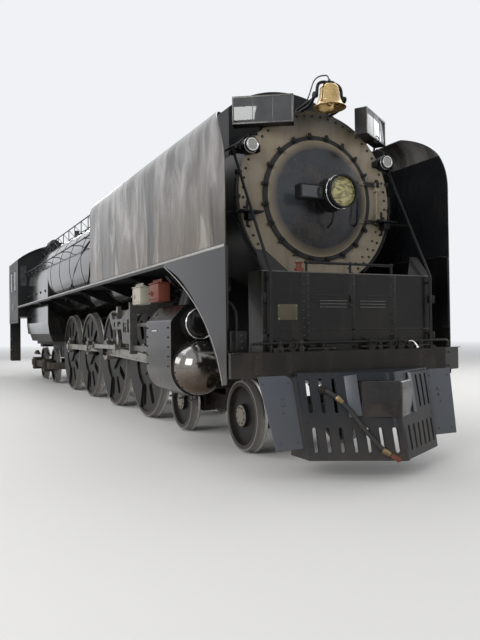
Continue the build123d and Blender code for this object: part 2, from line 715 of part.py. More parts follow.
shield_thickness = 12
shield = block(-shield_half_width, shield_half_width, shield_y, shield_y + shield_thickness, beam_top, shield_top)
returns = [
    block(x, x + shield_thickness, shield_y + shield_thickness, shield_y + 330, beam_top, shield_top)
    for x in (-shield_half_width, shield_half_width - shield_thickness)
]
wing_points = [(shield_half_width - 360, 0), (shield_half_width, 0), (shield_half_width - 40, 330), (shield_half_width - 150, 330)]
wing_plane = Plane(origin=(0, shield_y + shield_thickness, shield_top - shield_thickness), x_dir=(1, 0, 0), z_dir=(0, -math.cos(0.62), math.sin(0.62)))
wing = extrude(wing_plane * make_face(Polyline(*wing_points, close=True)), -shield_thickness)
louvres = []
for x in (-385, 385):
    for i in range(3):
        z = beam_top + 560 + i * 34
        louvres.append(block(x - 175, x + 175, shield_y - 10, shield_y, z, z + 14))
shield_node = shield + returns + both_sides(wing).solids() + louvres
save(shield_node, "pilot_shield")

# Pilot: a ploughed plate with a rounded nose, open behind and pierced by two rows of slots
pilot_top_z = beam_top - beam_depth
pilot_top_half = 800
pilot_foot_half = 705
pilot_back_y = beam_front_y + 20


def pilot_outline(half, nose_y, nose_half, inset, z):
    nose = nose_y + inset
    flank = nose_half - inset * 0.4
    side = half - inset
    start = pilot_back_y + (40 if inset else 0)
    points = [(-side, start), (-flank, nose + 150), (flank, nose + 150), (side, start)]
    arc = ThreePointArc(points[1], (0, nose), points[2])
    edges = Line(points[0], points[1]) + arc + Line(points[2], points[3]) + Line(points[3], points[0])
    return Pos(0, 0, z) * make_face(edges)


top_nose_y = front_y + 330
outer = loft([
    pilot_outline(pilot_foot_half, front_y, 190, 0, pilot_foot),
    pilot_outline(pilot_top_half, top_nose_y, 330, 0, pilot_top_z),
])
inner = loft([
    pilot_outline(pilot_foot_half, front_y, 190, pilot_wall, pilot_foot - 1),
    pilot_outline(pilot_top_half, top_nose_y, 330, pilot_wall, pilot_top_z - 34),
])
pilot = outer - inner
slots = []
flank_turn = math.degrees(math.atan2(beam_front_y - front_y - 150, pilot_foot_half - 190))
for side in (-1, 1):
    for i in range(7):
        share = 0.12 + i * 0.125
        x = side * (pilot_foot_half * (1 - share) + 40 * share)
        slot = Pos(x, 0, pilot_foot + 215) * Rot(90, 0, 0) * SlotCenterToCenter(200, 56, rotation=90)
        slots.append(extrude(slot, 12000, dir=(0, -1, 0)))
    for i in range(3):
        x = side * (pilot_top_half - 125 - i * 115)
        slot = Pos(x, 0, pilot_top_z - 260) * Rot(90, 0, 0) * SlotCenterToCenter(240, 56, rotation=90)
        slots.append(extrude(slot, 12000, dir=(0, -1, 0)))
pilot = pilot - slots
save(pilot, "pilot")

# Coupler cover on the pilot's nose
cover_half = 330
cover_low = pilot_top_z - 470
cover_high = pilot_top_z - 30
cover_section = [
    (-cover_half, top_nose_y + 190),
    (-cover_half, top_nose_y + 60),
    (0, top_nose_y - 110),
    (cover_half, top_nose_y + 60),
    (cover_half, top_nose_y + 190),
]
cap = Pos(0, 0, cover_low) * extrude(make_face(Polyline(*cover_section, close=True)), cover_high - cover_low)
save(cap - outer, "coupler_cover")

# Step plates beside the pilot lean forward to their feet
plate_thickness = 14
plane = Plane(origin=(0, beam_front_y + 70, pilot_top_z), x_dir=(1, 0, 0), z_dir=(0, -math.cos(0.3), -math.sin(0.3)))
points = [(950, 0), (1360, 0), (1215, -820), (860, -820)]
plate = extrude(plane * make_face(Polyline(*points, close=True)), -plate_thickness)
plate -= block(0, 2000, beam_front_y - 200, beam_front_y + 400, pilot_top_z, pilot_top_z + 100)
save_pair(plate, "step_plates")

# Running boards follow the boiler and end in the skirts
board_points = [
    (660, board_height - board_thickness),
    (side_face - board_thickness, board_height - board_thickness),
    (side_face - board_thickness, board_height - board_edge),
    (side_face, board_height - board_edge),
    (side_face, board_height),
    (660, board_height),
]
board_clear = 8
boiler_skin = [
    bar_y(0, boiler_height, smokebox_radius + board_clear, skirt_rear_y - 1, smokebox_rear_y),
    revolve(barrel_face, axis=Axis.Y),
]
board = cross_profile(board_points, skirt_rear_y, cab_front_y)
bracket_face = [(660, board_height - board_thickness), (side_face - 60, board_height - board_thickness), (1000, board_height - 230), (660, board_height - 330)]
brackets = []
bracket_pitch = 1900
for i in range(8):
    y = skirt_rear_y + 240 + i * bracket_pitch
    brackets.append(cross_profile(bracket_face, y, y + 14))
board = board + brackets
board = board - ([smokebox_body, barrel, firebox] + bands)
steam_pipe = rod_between((cylinder_centre_x, (cylinder_front_y + cylinder_rear_y) / 2, 1800), (830, (cylinder_front_y + cylinder_rear_y) / 2, 2980), 125)
board_hole = rod_between((cylinder_centre_x, (cylinder_front_y + cylinder_rear_y) / 2, 1800), (830, (cylinder_front_y + cylinder_rear_y) / 2, 2980), 135)
board = board - board_hole
steam_pipe = steam_pipe - [smokebox_body, jacket]
deflector_arc_end = 75
# Smoke deflector: flat sheet rolled inward along its top, with rounded corners in side view
bend_z = deflector_top - deflector_bend
a = math.radians(deflector_arc_end)
mid = a / 2
outer_r = deflector_bend
inner_r = deflector_bend - side_sheet
centre_x = side_face - deflector_bend
outer_mid = (centre_x + outer_r * math.cos(mid), bend_z + outer_r * math.sin(mid))
outer_end = (centre_x + outer_r * math.cos(a), bend_z + outer_r * math.sin(a))
inner_mid = (centre_x + inner_r * math.cos(mid), bend_z + inner_r * math.sin(mid))
inner_end = (centre_x + inner_r * math.cos(a), bend_z + inner_r * math.sin(a))
edges = Line((side_face, board_height), (side_face, bend_z))
edges += ThreePointArc((side_face, bend_z), outer_mid, outer_end)
edges += Line(outer_end, inner_end)
edges += ThreePointArc(inner_end, inner_mid, (side_face - side_sheet, bend_z))
edges += Line((side_face - side_sheet, bend_z), (side_face - side_sheet, board_height))
edges += Line((side_face - side_sheet, board_height), (side_face, board_height))
section = Plane.XZ * make_face(edges)
sheet = Pos(0, deflector_front_y, 0) * extrude(section, -(deflector_rear_y - deflector_front_y))
crown = deflector_bend * math.sin(a) + bend_z + 10
front_corner = 780
rear_corner = 330
edges = Line((deflector_front_y, board_height), (deflector_front_y, crown - front_corner))
s = math.sqrt(0.5)
edges += ThreePointArc(
    (deflector_front_y, crown - front_corner),
    (deflector_front_y + front_corner * (1 - s), crown - front_corner * (1 - s)),
    (deflector_front_y + front_corner, crown),
)
edges += Line((deflector_front_y + front_corner, crown), (deflector_rear_y - rear_corner, crown))
edges += ThreePointArc(
    (deflector_rear_y - rear_corner, crown),
    (deflector_rear_y - rear_corner * (1 - s), crown - rear_corner * (1 - s)),
    (deflector_rear_y, crown - rear_corner),
)
edges += Line((deflector_rear_y, crown - rear_corner), (deflector_rear_y, board_height))
edges += Line((deflector_rear_y, board_height), (deflector_front_y, board_height))
outline = extrude(Plane.YZ * make_face(edges), side_face + 100)
deflector = sheet & outline

# Skirt below the board sweeps down behind the beam
foot_y = deflector_front_y + 110
edges = Line((deflector_front_y, board_height), (deflector_front_y, skirt_foot_height))
edges += Line((deflector_front_y, skirt_foot_height), (foot_y, skirt_foot_height - 20))
edges += ThreePointArc(
    (foot_y, skirt_foot_height - 20),
    (deflector_front_y + 690, 1770),
    (skirt_rear_y, board_height - board_edge),
)
edges += Line((skirt_rear_y, board_height - board_edge), (skirt_rear_y, board_height))
edges += Line((skirt_rear_y, board_height), (deflector_front_y, board_height))
skirt = Pos(skirt_inner, 0, 0) * extrude(Plane.YZ * make_face(edges), side_sheet)
save_pair(skirt, "front_skirts")
save_pair(deflector, "smoke_deflectors")
save_pair(board, "running_boards")
save_pair(steam_pipe, "steam_pipes")

# Stack casing, domes and fittings on top of the boiler
stack_front_y = smokebox_front_y + 690
stack_length = 1500
stack_top = 4860
arch_radius = 1420
arch_half = 900
arch_drop = arch_radius - math.sqrt(arch_radius**2 - arch_half**2)
edges = ThreePointArc((-arch_half, 0, stack_top - arch_drop), (0, 0, stack_top), (arch_half, 0, stack_top - arch_drop))
edges += Polyline(
    (arch_half, 0, stack_top - arch_drop), (arch_half, 0, boiler_height + 300),
    (-arch_half, 0, boiler_height + 300), (-arch_half, 0, stack_top - arch_drop),
)
casing = Pos(0, stack_front_y, 0) * extrude(make_face(edges), stack_length, dir=(0, 1, 0))
flues = [bar_z(0, stack_front_y + y, 255, boiler_height + 800, stack_top + 10) for y in (440, 1060)]
casing = casing - (flues + [smokebox_body])
save(casing, "stack_casing")

dome_outline = [(0, 0), (430, 0), (430, 620), (395, 720), (300, 790), (120, 820), (0, 822)]
dome = revolve(Plane.XZ * make_face(Polyline(*dome_outline, close=True)), axis=Axis.Z)
steam_dome_y = first_driver_y + 3300
steam_dome = Pos(0, steam_dome_y, boiler_height + 840) * dome
sand_front_y = first_driver_y - 300
sand_length = 2300
sand_half = 640
sand_top = 4740
edges = ThreePointArc((-sand_half, 0, sand_top - 240), (0, 0, sand_top), (sand_half, 0, sand_top - 240))
edges += Polyline(
    (sand_half, 0, sand_top - 240), (sand_half + 60, 0, boiler_height + 800),
    (-sand_half - 60, 0, boiler_height + 800), (-sand_half, 0, sand_top - 240),
)
sandbox = Pos(0, sand_front_y, 0) * extrude(make_face(edges), sand_length, dir=(0, 1, 0))
boiler_skin = barrel + bands
save_group([steam_dome - boiler_skin, sandbox - boiler_skin], "boiler_domes")
valves = []
for x in (-210, 0, 210):
    valves.append(bar_z(x, barrel_rear_y + 900, 62, boiler_height + 900, boiler_height + firebox_half_width + 250))
    valves.append(bar_z(x, barrel_rear_y + 900, 84, boiler_height + firebox_half_width + 60, boiler_height + firebox_half_width + 150))
turret = block(-420, 420, cab_front_y - 900, cab_front_y - 250, boiler_height + 900, boiler_height + firebox_half_width + 170)
generator = bar_y(-640, boiler_height + 1250, 170, cab_front_y - 1700, cab_front_y - 1150)
generator += block(-760, -520, cab_front_y - 1600, cab_front_y - 1300, boiler_height + 800, boiler_height + 1150)
save_group([(valves[0] + valves[1:]) - firebox, turret - firebox, generator - firebox], "boiler_top_fittings")

# Bell in its yoke above the smokebox front
bell_y = smokebox_front_y - 330
bell_mouth_z = 4330
bell_mouth_radius = 207
bell_height = 300
bell_wall = 14
bell_outer = [
    (bell_mouth_radius, 0), (bell_mouth_radius - 30, 26), (bell_mouth_radius - 72, 110),
    (bell_mouth_radius - 88, 215), (bell_mouth_radius - 104, 262), (bell_mouth_radius - 140, 292), (0, 300),
]
bell_inner = [(0, 300 - bell_wall), (bell_mouth_radius - 148, 276), (bell_mouth_radius - 118, 250), (bell_mouth_radius - 103, 210), (bell_mouth_radius - 88, 108), (bell_mouth_radius - 46, 20), (bell_mouth_radius - 12, 0)]
bell = revolve(Plane.XZ * make_face(Polyline(*(bell_outer + bell_inner), close=True)), axis=Axis.Z)
bell = Pos(0, bell_y, bell_mouth_z) * bell
clapper = bar_z(0, bell_y, 9, bell_mouth_z + 60, bell_mouth_z + 290)
clapper += Pos(0, bell_y, bell_mouth_z + 55) * Sphere(32)
save(bell + clapper, "bell")
yoke_z = bell_mouth_z + bell_height
yoke = block(-205, 205, bell_y - 22, bell_y + 22, yoke_z, yoke_z + 34)
yoke_arms = [block(x - 17, x + 17, bell_y - 26, bell_y + 26, yoke_z - 190, yoke_z + 34) for x in (-215, 215)]
stand = [
    block(x - 17, x + 17, bell_y - 26, smokebox_front_y + 420, yoke_z - 220, yoke_z - 180) for x in (-215, 215)
]
stand_base = block(-240, 240, smokebox_front_y + 60, smokebox_front_y + 420, boiler_height + 900, yoke_z - 220)
yoke_node = yoke + yoke_arms + stand + [stand_base]
save(yoke_node - [smokebox_body, casing], "bell_yoke")

# Number boards and class lamps stand off the smokebox shoulders on brackets
for side in (1,):
    plane = Plane(origin=(806, smokebox_front_y - 95, 4250), x_dir=(0.836, 0.548, 0), z_dir=(0.548, -0.836, 0))
    board_box = extrude(plane * Rectangle(740, 340), 75, both=True)
    arm = rod_between((806, smokebox_front_y - 60, 4120), (700, smokebox_front_y + 260, 3900), 26)
    post = rod_between((760, smokebox_front_y + 30, 4080), (560, smokebox_front_y + 300, 4000), 26)
    node = board_box + [arm, post]
    save_pair(node - [smokebox_body, casing, ring_plate], "number_boards")
lamp_x = 1007
lamp_z = 3800
lamp_y = smokebox_front_y - 186
lamp = bar_y(lamp_x, lamp_z, 92, lamp_y, lamp_y + 150)
lamp_arm = bar_x(smokebox_front_y - 60, lamp_z - 20, 24, 600, 1180)
lamp_arm = block(880, 1190, smokebox_front_y - 36, smokebox_front_y + 50, lamp_z - 60, lamp_z - 20)
lamp_post = block(lamp_x - 24, lamp_x + 24, lamp_y + 60, smokebox_front_y - 30, lamp_z - 60, lamp_z - 20)
lamps = both_sides(lamp + [lamp_arm, lamp_post])
save_group([lamps - [smokebox_body, ring_plate]], "class_lamps")

# Brace rods run from the lamp brackets to the shield corners and down to the beam
brace_top = (1166, smokebox_front_y - 8, lamp_z - 80)
brace_knee = (1130, shield_y - 60, shield_top - 10)
brace = rod_between(brace_top, brace_knee, 17)
brace += Pos(*brace_knee) * Sphere(17)
brace += bar_z(1130, shield_y - 60, 17, beam_top, brace_knee[2])
for z in (beam_top + 190, shield_top - 90):
    brace += block(1112, 1148, shield_y - 60, shield_y, z - 15, z + 15)
brace += block(1146, 1186, smokebox_front_y - 36, smokebox_front_y + 30, lamp_z - 100, lamp_z - 60)

# Struts hold the deflectors off the boiler
struts = []
for y, z in ((smokebox_front_y + 90, 3020), (smokebox_front_y + 2300, 3500), (first_driver_y + 700, 3500)):
    struts.append(bar_x(y, z, 20, 700, side_face - side_sheet))
struts = struts[0] + struts[1:]
strut_group = struts - [smokebox_body, barrel]
save_group([on_side(shape, side) for shape in (brace, strut_group) for side in (-1, 1)], "smokebox_braces")

# Air pumps stand on the deck behind the shield
pump_y = shield_y + 350
pumps = []
for x in (-560, 560):
    pump = bar_z(x, pump_y, 165, beam_top, beam_top + 300)
    pump += [
        bar_z(x, pump_y, 190, beam_top + 30, beam_top + 60),
        bar_z(x, pump_y, 190, beam_top + 240, beam_top + 270),
        bar_z(x, pump_y, 70, beam_top + 300, beam_top + 420),
        bar_z(x, pump_y, 150, beam_top + 420, beam_top + 760),
        bar_z(x, pump_y, 172, beam_top + 440, beam_top + 470),
        bar_z(x, pump_y, 172, beam_top + 700, beam_top + 730),
    ]
    pumps.append(pump)
save_group(pumps, "air_pumps")

# Ash pan hangs between the bed bars under the firebox
ash_front_y = barrel_rear_y + 40
ash_rear_y = firebox_rear_y - 300
pan_half = inner_x - running_gap
pan_points = [
    (-pan_half, 780), (pan_half, 780), (pan_half, bed_top), (firebox_half_width - 140, bed_top),
    (firebox_half_width - 60, mud_ring_height), (-firebox_half_width + 60, mud_ring_height),
    (-firebox_half_width + 140, bed_top), (-pan_half, bed_top),
]
ash_pan = cross_profile(pan_points, ash_front_y, ash_rear_y)
ash_pan -= [block(-pan_half - 1, pan_half + 1, y - 60, y + 60, 700, bed_top) for y in (trailing_ys[0] + 900, trailing_ys[1] + 900)]
ash_pan -= block(-pan_half - 1, pan_half + 1, ash_front_y - 1, truck_pivot_y + 300, 700, bed_top)
save(ash_pan, "ash_pan")

# Cab: side walls, front wall round the boiler, floor and a rear wall with an open gangway
inner = side_face - cab_wall
side_wall = block(inner, side_face, cab_front_y, cab_rear_y, cab_foot, cab_eaves)
for y in (cab_front_y + 560, cab_front_y + 1500):
    side_wall -= block(inner - 1, side_face + 1, y, y + 760, 3120, 3820)
front_wall = block(-inner, inner, cab_front_y, cab_front_y + cab_wall, cab_floor_height - 20, cab_eaves)
front_wall -= firebox
roof_radius = (side_face**2 + cab_roof_rise**2) / (2 * cab_roof_rise)
edges = ThreePointArc((-side_face, 0, cab_eaves), (0, 0, cab_eaves + cab_roof_rise), (side_face, 0, cab_eaves))
gable_face = make_face(edges + Line((side_face, 0, cab_eaves), (-side_face, 0, cab_eaves)))
gable = Pos(0, cab_front_y, 0) * extrude(gable_face, cab_wall, dir=(0, 1, 0)) - firebox
door_inner_x = 1290
door_half = 115
windows = [
    block(1310, 1530, cab_front_y - 1, cab_front_y + cab_wall + 1, 3250, 3950),
]
floor = block(-inner, inner, cab_front_y + cab_wall, cab_rear_y, cab_floor_height - 20, cab_floor_height) - firebox
rear_wall = block(900, inner, cab_rear_y - cab_wall, cab_rear_y, cab_floor_height, cab_eaves)
rear_gable = Pos(0, cab_rear_y - cab_wall, 0) * extrude(gable_face, cab_wall, dir=(0, 1, 0))
cab = both_sides(side_wall) + [front_wall, gable, floor, rear_gable] + both_sides(rear_wall).solids()
cab -= both_sides(windows[0]).solids()
save(cab, "cab_shell")
roof_overhang = 110
roof_sheet = 16
edges = ThreePointArc(
    (-side_face - 6, 0, cab_eaves), (0, 0, cab_eaves + cab_roof_rise + roof_sheet), (side_face + 6, 0, cab_eaves)
)
edges += Line((side_face + 6, 0, cab_eaves), (side_face, 0, cab_eaves))
edges += ThreePointArc((side_face, 0, cab_eaves), (0, 0, cab_eaves + cab_roof_rise), (-side_face, 0, cab_eaves))
edges += Line((-side_face, 0, cab_eaves), (-side_face - 6, 0, cab_eaves))
roof = extrude(make_face(edges), cab_length + 2 * roof_overhang, dir=(0, 1, 0))
roof = Pos(0, cab_front_y - roof_overhang, 0) * roof
hatch_half = 330
hatch_front_y = cab_front_y + 900
hatch_length = 760
hatch_top = cab_eaves + cab_roof_rise + 70
hatch_hole = block(-hatch_half, hatch_half, hatch_front_y, hatch_front_y + hatch_length, cab_eaves + 200, hatch_top + 50)
coaming = block(-hatch_half - 20, hatch_half + 20, hatch_front_y - 20, hatch_front_y + hatch_length + 20, cab_eaves + cab_roof_rise - 60, hatch_top - 20)
under_roof = Pos(0, cab_front_y - roof_overhang, 0) * extrude(gable_face, cab_length + 2 * roof_overhang, dir=(0, 1, 0))
roof = (roof + (coaming - under_roof)) - hatch_hole
hinge_y = hatch_front_y - 34
hinge_z = hatch_top - 8
for x in (-200, 200):
    lug = block(x - 40, x + 40, hinge_y - 16, hinge_y + 14, cab_eaves + cab_roof_rise + 4, hinge_z)
    lug += bar_x(hinge_y, hinge_z, 16, x - 40, x + 40)
    roof += lug - bar_x(hinge_y, hinge_z, 11 + running_gap, x - 50, x + 50)
roof -= under_roof
save(roof, "cab_roof")
hatch = block(-hatch_half - 34, hatch_half + 34, hatch_front_y - 14, hatch_front_y + hatch_length + 34, hatch_top - 20 + running_gap, hatch_top)
hatch += bar_x(hinge_y, hinge_z, 11, -320, 320)
hatch += [block(x - 30, x + 30, hinge_y, hatch_front_y, hinge_z - 8, hatch_top) for x in (-280, 0, 280)]
save(hatch, "cab_roof_hatch")

# Cab glass sits in the side windows
panes = []
for y in (cab_front_y + 560, cab_front_y + 1500):
    panes.append(block(inner + 6, inner + 12, y, y + 760, 3120, 3820))
panes = both_sides(panes[0]).solids() + both_sides(panes[1]).solids()
panes += both_sides(block(1310, 1530, cab_front_y + 6, cab_front_y + 12, 3250, 3950)).solids()
save_group(panes, "cab_glass")

# Backhead fittings and two seats
backhead = block(-260, 260, firebox_rear_y, firebox_rear_y + 50, cab_floor_height + 260, cab_floor_height + 700)
gauge_board = block(-420, 420, firebox_rear_y, firebox_rear_y + 70, cab_floor_height + 1250, cab_floor_height + 1550)
throttle = rod_between((-700, firebox_rear_y, cab_floor_height + 1150), (-760, firebox_rear_y + 420, cab_floor_height + 950), 18)
seats = []
for x in (-1180, 1180):
    seat = block(x - 210, x + 210, cab_front_y + 1150, cab_front_y + 1600, cab_floor_height + 430, cab_floor_height + 520)
    seat += block(x - 210, x + 210, cab_front_y + 1560, cab_front_y + 1640, cab_floor_height + 520, cab_floor_height + 960)
    seat += block(x - 170, x + 170, cab_front_y + 1200, cab_front_y + 1560, cab_floor_height, cab_floor_height + 430)
    seats.append(seat)
save_group([backhead, gauge_board, throttle - firebox] + seats, "cab_interior")

# Steps under the cab
steps = []
for side in (-1, 1):
    x0 = side_face - 330
    x1 = side_face
    step = block(x0, inner, cab_rear_y - 560, cab_rear_y - 548, 560, cab_floor_height - 20)
    step += block(x0, inner, cab_rear_y - 12, cab_rear_y, 560, cab_floor_height - 20)
    step += [block(x0, inner, cab_rear_y - 560, cab_rear_y, z, z + 20) for z in (560, 960, 1360)]
    steps.append(step if side > 0 else mirror(step, about=Plane.YZ))
save_group(steps, "cab_steps")

# Valve gear: link on its bracket, radius rod and combination lever
guide_top = cylinder_height + crosshead_height / 2 + guide_depth
hanger_plate = 26
yoke_plate = 60
link_rear_y = link_pivot_y + 170
hanger_windows = [
    (140, 330, -320, -90),
    (390, 600, -320, -150),
    (760, 980, -210, -120),
    (1040, 1240, -210, -120),
]
links = []
brackets = []
for side in (-1, 1):
    link_outer = ThreePointArc((link_pivot_y + 20, link_pivot_z - 330), (link_pivot_y + 95, link_pivot_z), (link_pivot_y + 20, link_pivot_z + 330))
    link_inner = ThreePointArc((link_pivot_y - 95, link_pivot_z + 330), (link_pivot_y - 30, link_pivot_z), (link_pivot_y - 95, link_pivot_z - 330))
    face = make_face(link_outer + Line(link_outer @ 1, link_inner @ 0) + link_inner + Line(link_inner @ 1, link_outer @ 0))
    link = Pos(valve_inner, 0, 0) * extrude(Plane.YZ * face, valve_plane_width)
    slot_face = Plane.YZ * Pos(link_pivot_y + 10, link_pivot_z) * SlotOverall(440, 46, rotation=90)
    link -= Pos(valve_inner, 0, 0) * extrude(slot_face, 200, both=True)
    link += link_bar((link_pivot_y - 30, link_pivot_z - 300), (foot_ys[side], link_pivot_z - link_foot_drop), 60, 52, valve_inner, valve_outer)
    radius_rod = block(valve_inner + 12, valve_outer - 12, cylinder_rear_y + 200, link_pivot_y - 20, link_pivot_z - 70, link_pivot_z - 10)
    radius_rod -= link
    valve_stem = bar_y(cylinder_centre_x, valve_height, 34, cylinder_rear_y + 60, cylinder_rear_y + 200)
    lever = side_profile(
        [
            (cylinder_rear_y + 200, valve_height + 120), (cylinder_rear_y + 280, valve_height + 120),
            (cylinder_rear_y + 330, cylinder_height - 270), (cylinder_rear_y + 270, cylinder_height - 270),
        ],
        guide_outer, guide_outer + 30,
    )
    lever += bar_x(cylinder_rear_y + 244, valve_height + 20, 22, valve_outer - 12, guide_outer)
    gear = radius_rod + [valve_stem]
    links += [on_side(link, side), on_side(gear, side), on_side(lever, side)]
    over = 1900
    yoke = cross_profile(
        [
            (bed_half_width, bed_top - 160), (bed_half_width, over + 200), (eccentric_inner + 130, over + 200),
            (eccentric_inner + 130, guide_bottom - 60), (eccentric_inner, guide_bottom - 60), (eccentric_inner, over),
            (bed_half_width + 100, over), (bed_half_width + 60, bed_top - 160),
        ],
        guide_rear_y, guide_rear_y + yoke_plate,
    )
    arm_outer = valve_inner - rod_plane_gap
    arm_inner = arm_outer - hanger_plate
    arm = side_profile(
        [
            (guide_rear_y + yoke_plate, over), (link_pivot_y - 160, link_pivot_z - 70),
            (link_pivot_y + 110, link_pivot_z - 70), (link_rear_y, over), (link_rear_y, over + 100),
            (guide_rear_y + yoke_plate, over + 100),
        ],
        arm_inner, arm_outer,
    )
    pivot = bar_x(link_pivot_y + 10, link_pivot_z, 44, arm_inner, valve_inner)
    plate_inner = eccentric_outer + rod_plane_gap
    plate = side_profile(
        [
            (guide_rear_y + yoke_plate, over - 520), (guide_rear_y + yoke_plate, over + 90),
            (guide_rear_y + 280, over + 90), (guide_rear_y + 720, over - 70), (link_pivot_y - 60, over - 70),
            (link_pivot_y + 60, over + 60), (link_rear_y, over + 60), (link_rear_y, over - 40),
            (link_pivot_y - 20, over - 260), (guide_rear_y + 720, over - 260), (guide_rear_y + 620, over - 520),
        ],
        plate_inner, plate_inner + hanger_plate,
    )
    windows = [
        block(plate_inner - 1, plate_inner + hanger_plate + 1, guide_rear_y + y0, guide_rear_y + y1, over + z0, over + z1)
        for y0, y1, z0, z1 in hanger_windows
    ]
    tie = block(arm_inner, plate_inner + hanger_plate, link_rear_y - yoke_plate, link_rear_y, over, over + yoke_plate)
    hanger = yoke + [arm, pivot, plate - windows, tie]
    brackets.append(on_side(hanger, side))
save_group(links, "valve_gear")
save_group(guides + brackets, "guides_and_yokes")
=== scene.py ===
import bmesh
import bpy
import json
import math
from mathutils import Matrix, Vector


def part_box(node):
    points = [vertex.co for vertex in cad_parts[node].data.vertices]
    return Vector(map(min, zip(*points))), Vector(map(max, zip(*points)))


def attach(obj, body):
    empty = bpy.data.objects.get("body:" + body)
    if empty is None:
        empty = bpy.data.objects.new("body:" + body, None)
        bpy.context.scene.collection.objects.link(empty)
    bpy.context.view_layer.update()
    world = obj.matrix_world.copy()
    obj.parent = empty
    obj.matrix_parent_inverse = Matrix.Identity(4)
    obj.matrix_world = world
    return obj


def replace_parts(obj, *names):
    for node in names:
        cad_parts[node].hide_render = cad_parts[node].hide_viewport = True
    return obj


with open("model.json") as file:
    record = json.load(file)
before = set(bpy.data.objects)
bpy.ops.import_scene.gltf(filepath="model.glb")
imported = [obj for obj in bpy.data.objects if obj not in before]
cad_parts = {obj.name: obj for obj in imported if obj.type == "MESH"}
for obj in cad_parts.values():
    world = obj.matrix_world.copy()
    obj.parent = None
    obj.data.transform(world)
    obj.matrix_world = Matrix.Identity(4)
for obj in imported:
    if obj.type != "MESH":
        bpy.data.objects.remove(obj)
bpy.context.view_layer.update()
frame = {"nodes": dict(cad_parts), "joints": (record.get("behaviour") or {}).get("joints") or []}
nodes = frame["nodes"]
joints = {joint["name"]: joint for joint in frame["joints"]}
collection = bpy.context.scene.collection
print("frame loaded:", len(nodes), "nodes")


# Stations read from the frame
def span(name):
    low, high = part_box(name)
    return Vector(low), Vector(high)


ringLow, ringHigh = span("smokebox_front_ring")
boilerHeight = (ringLow.z + ringHigh.z) / 2
smokeboxFront = span("smokebox_drum")[0].y
ringFace = smokeboxFront - 0.03
boardLow, boardHigh = span("running_boards")
boardTop = boardHigh.z
sideFace = boardHigh.x
skirtRear = boardLow.y
deflectorLow, deflectorHigh = span("smoke_deflectors")
beamLow, beamHigh = span("pilot_beam")
beamFront = beamLow.y
beamTop = beamHigh.z
beamFace = beamFront + 0.007
shieldLow = span("pilot_shield")[0]
shieldFace = shieldLow.y + 0.012
cabLow, cabHigh = span("cab_shell")
cylinderLow, cylinderHigh = span("cylinders")
fireboxLow, fireboxHigh = span("firebox_jacket")
driverCentres = [sum(span(f"driver_{i}_wheelset"), Vector()) / 2 for i in range(1, 5)]
firstDriver = driverCentres[0].y
noseTip = span("pilot")[0].y
forward = Vector((0, -1, 0))
rearward = Vector((0, 1, 0))
upward = Vector((0, 0, 1))
outward = Vector((1, 0, 0))
evenly = (1.0, 1.0, 1.0)


# Shader building
class Wire:
    def __init__(self, tree, socket=None):
        self.tree = tree
        self.socket = socket

    def node(self, kind, setup=None, inputs=None, output=0):
        made = self.tree.nodes.new("ShaderNode" + kind)
        for name, value in (setup or {}).items():
            setattr(made, name, value)
        for name, value in (inputs or {}).items():
            self.plug(value, made.inputs[name])
        return Wire(self.tree, made.outputs[output])

    def plug(self, value, target):
        if isinstance(value, Wire):
            self.tree.links.new(value.socket, target)
        elif isinstance(value, tuple) and target.type == "RGBA":
            target.default_value = (*value[:3], 1)
        else:
            target.default_value = value

    def maths(self, operation, first, second=0.0):
        return self.node("Math", {"operation": operation}, {0: first, 1: second})

    def __add__(self, other):
        return self.maths("ADD", self, other)

    def __sub__(self, other):
        return self.maths("SUBTRACT", self, other)

    def __rsub__(self, other):
        return self.maths("SUBTRACT", other, self)

    def __mul__(self, other):
        return self.maths("MULTIPLY", self, other)

    def __truediv__(self, other):
        return self.maths("DIVIDE", self, other)

    __radd__ = __add__
    __rmul__ = __mul__

    def clip(self, low=0.0, high=1.0):
        return self.maths("MINIMUM", self.maths("MAXIMUM", self, low), high)

    def ramp(self, low, high):
        return ((self - low) / (high - low)).clip()


def startMaterial(name):
    material = bpy.data.materials.new(name)
    material.use_nodes = True
    tree = material.node_tree
    tree.nodes.clear()
    shader = tree.nodes.new("ShaderNodeBsdfPrincipled")
    output = tree.nodes.new("ShaderNodeOutputMaterial")
    tree.links.new(shader.outputs[0], output.inputs[0])
    wire = Wire(tree)
    return material, wire, shader, wire.node("TexCoord", output="Object")


def feed(wire, shader, values):
    for name, value in values.items():
        wire.plug(value, shader.inputs[name])


def blendColour(wire, amount, first, second):
    return wire.node("Mix", {"data_type": "RGBA"}, {0: amount, 6: first, 7: second}, 2)


def axisOf(wire, place, axis):
    return wire.node("SeparateXYZ", inputs={0: place}, output=axis)


def sizeOf(wire, place, axis):
    return wire.maths("ABSOLUTE", axisOf(wire, place, axis))


def noise(wire, place, scale, detail=3.0, rough=0.55, stretch=None, twist=0.0):
    if stretch:
        place = wire.node("Mapping", inputs={"Vector": place, "Scale": stretch})
    values = {"Vector": place, "Scale": scale, "Detail": detail, "Roughness": rough, "Distortion": twist}
    return wire.node("TexNoise", inputs=values)


def reachFrom(wire, place, centre, mask):
    back = tuple(-value for value in centre)
    centred = wire.node("Mapping", inputs={"Vector": place, "Location": back})
    flat = wire.node("VectorMath", {"operation": "MULTIPLY"}, {0: centred, 1: mask})
    return wire.node("VectorMath", {"operation": "LENGTH"}, {0: flat}, "Value")


def roundedNormal(wire, radius=0.006):
    return wire.node("Bevel", {"samples": 4}, {"Radius": radius})


# How far the rounded normal turns from the flat one, which marks worn edges
def wornEdges(wire, rounded):
    flat = wire.node("NewGeometry", output="Normal")
    facing = wire.node("VectorMath", {"operation": "DOT_PRODUCT"}, {0: rounded, 1: flat}, "Value")
    return ((1 - facing) * 4).clip()


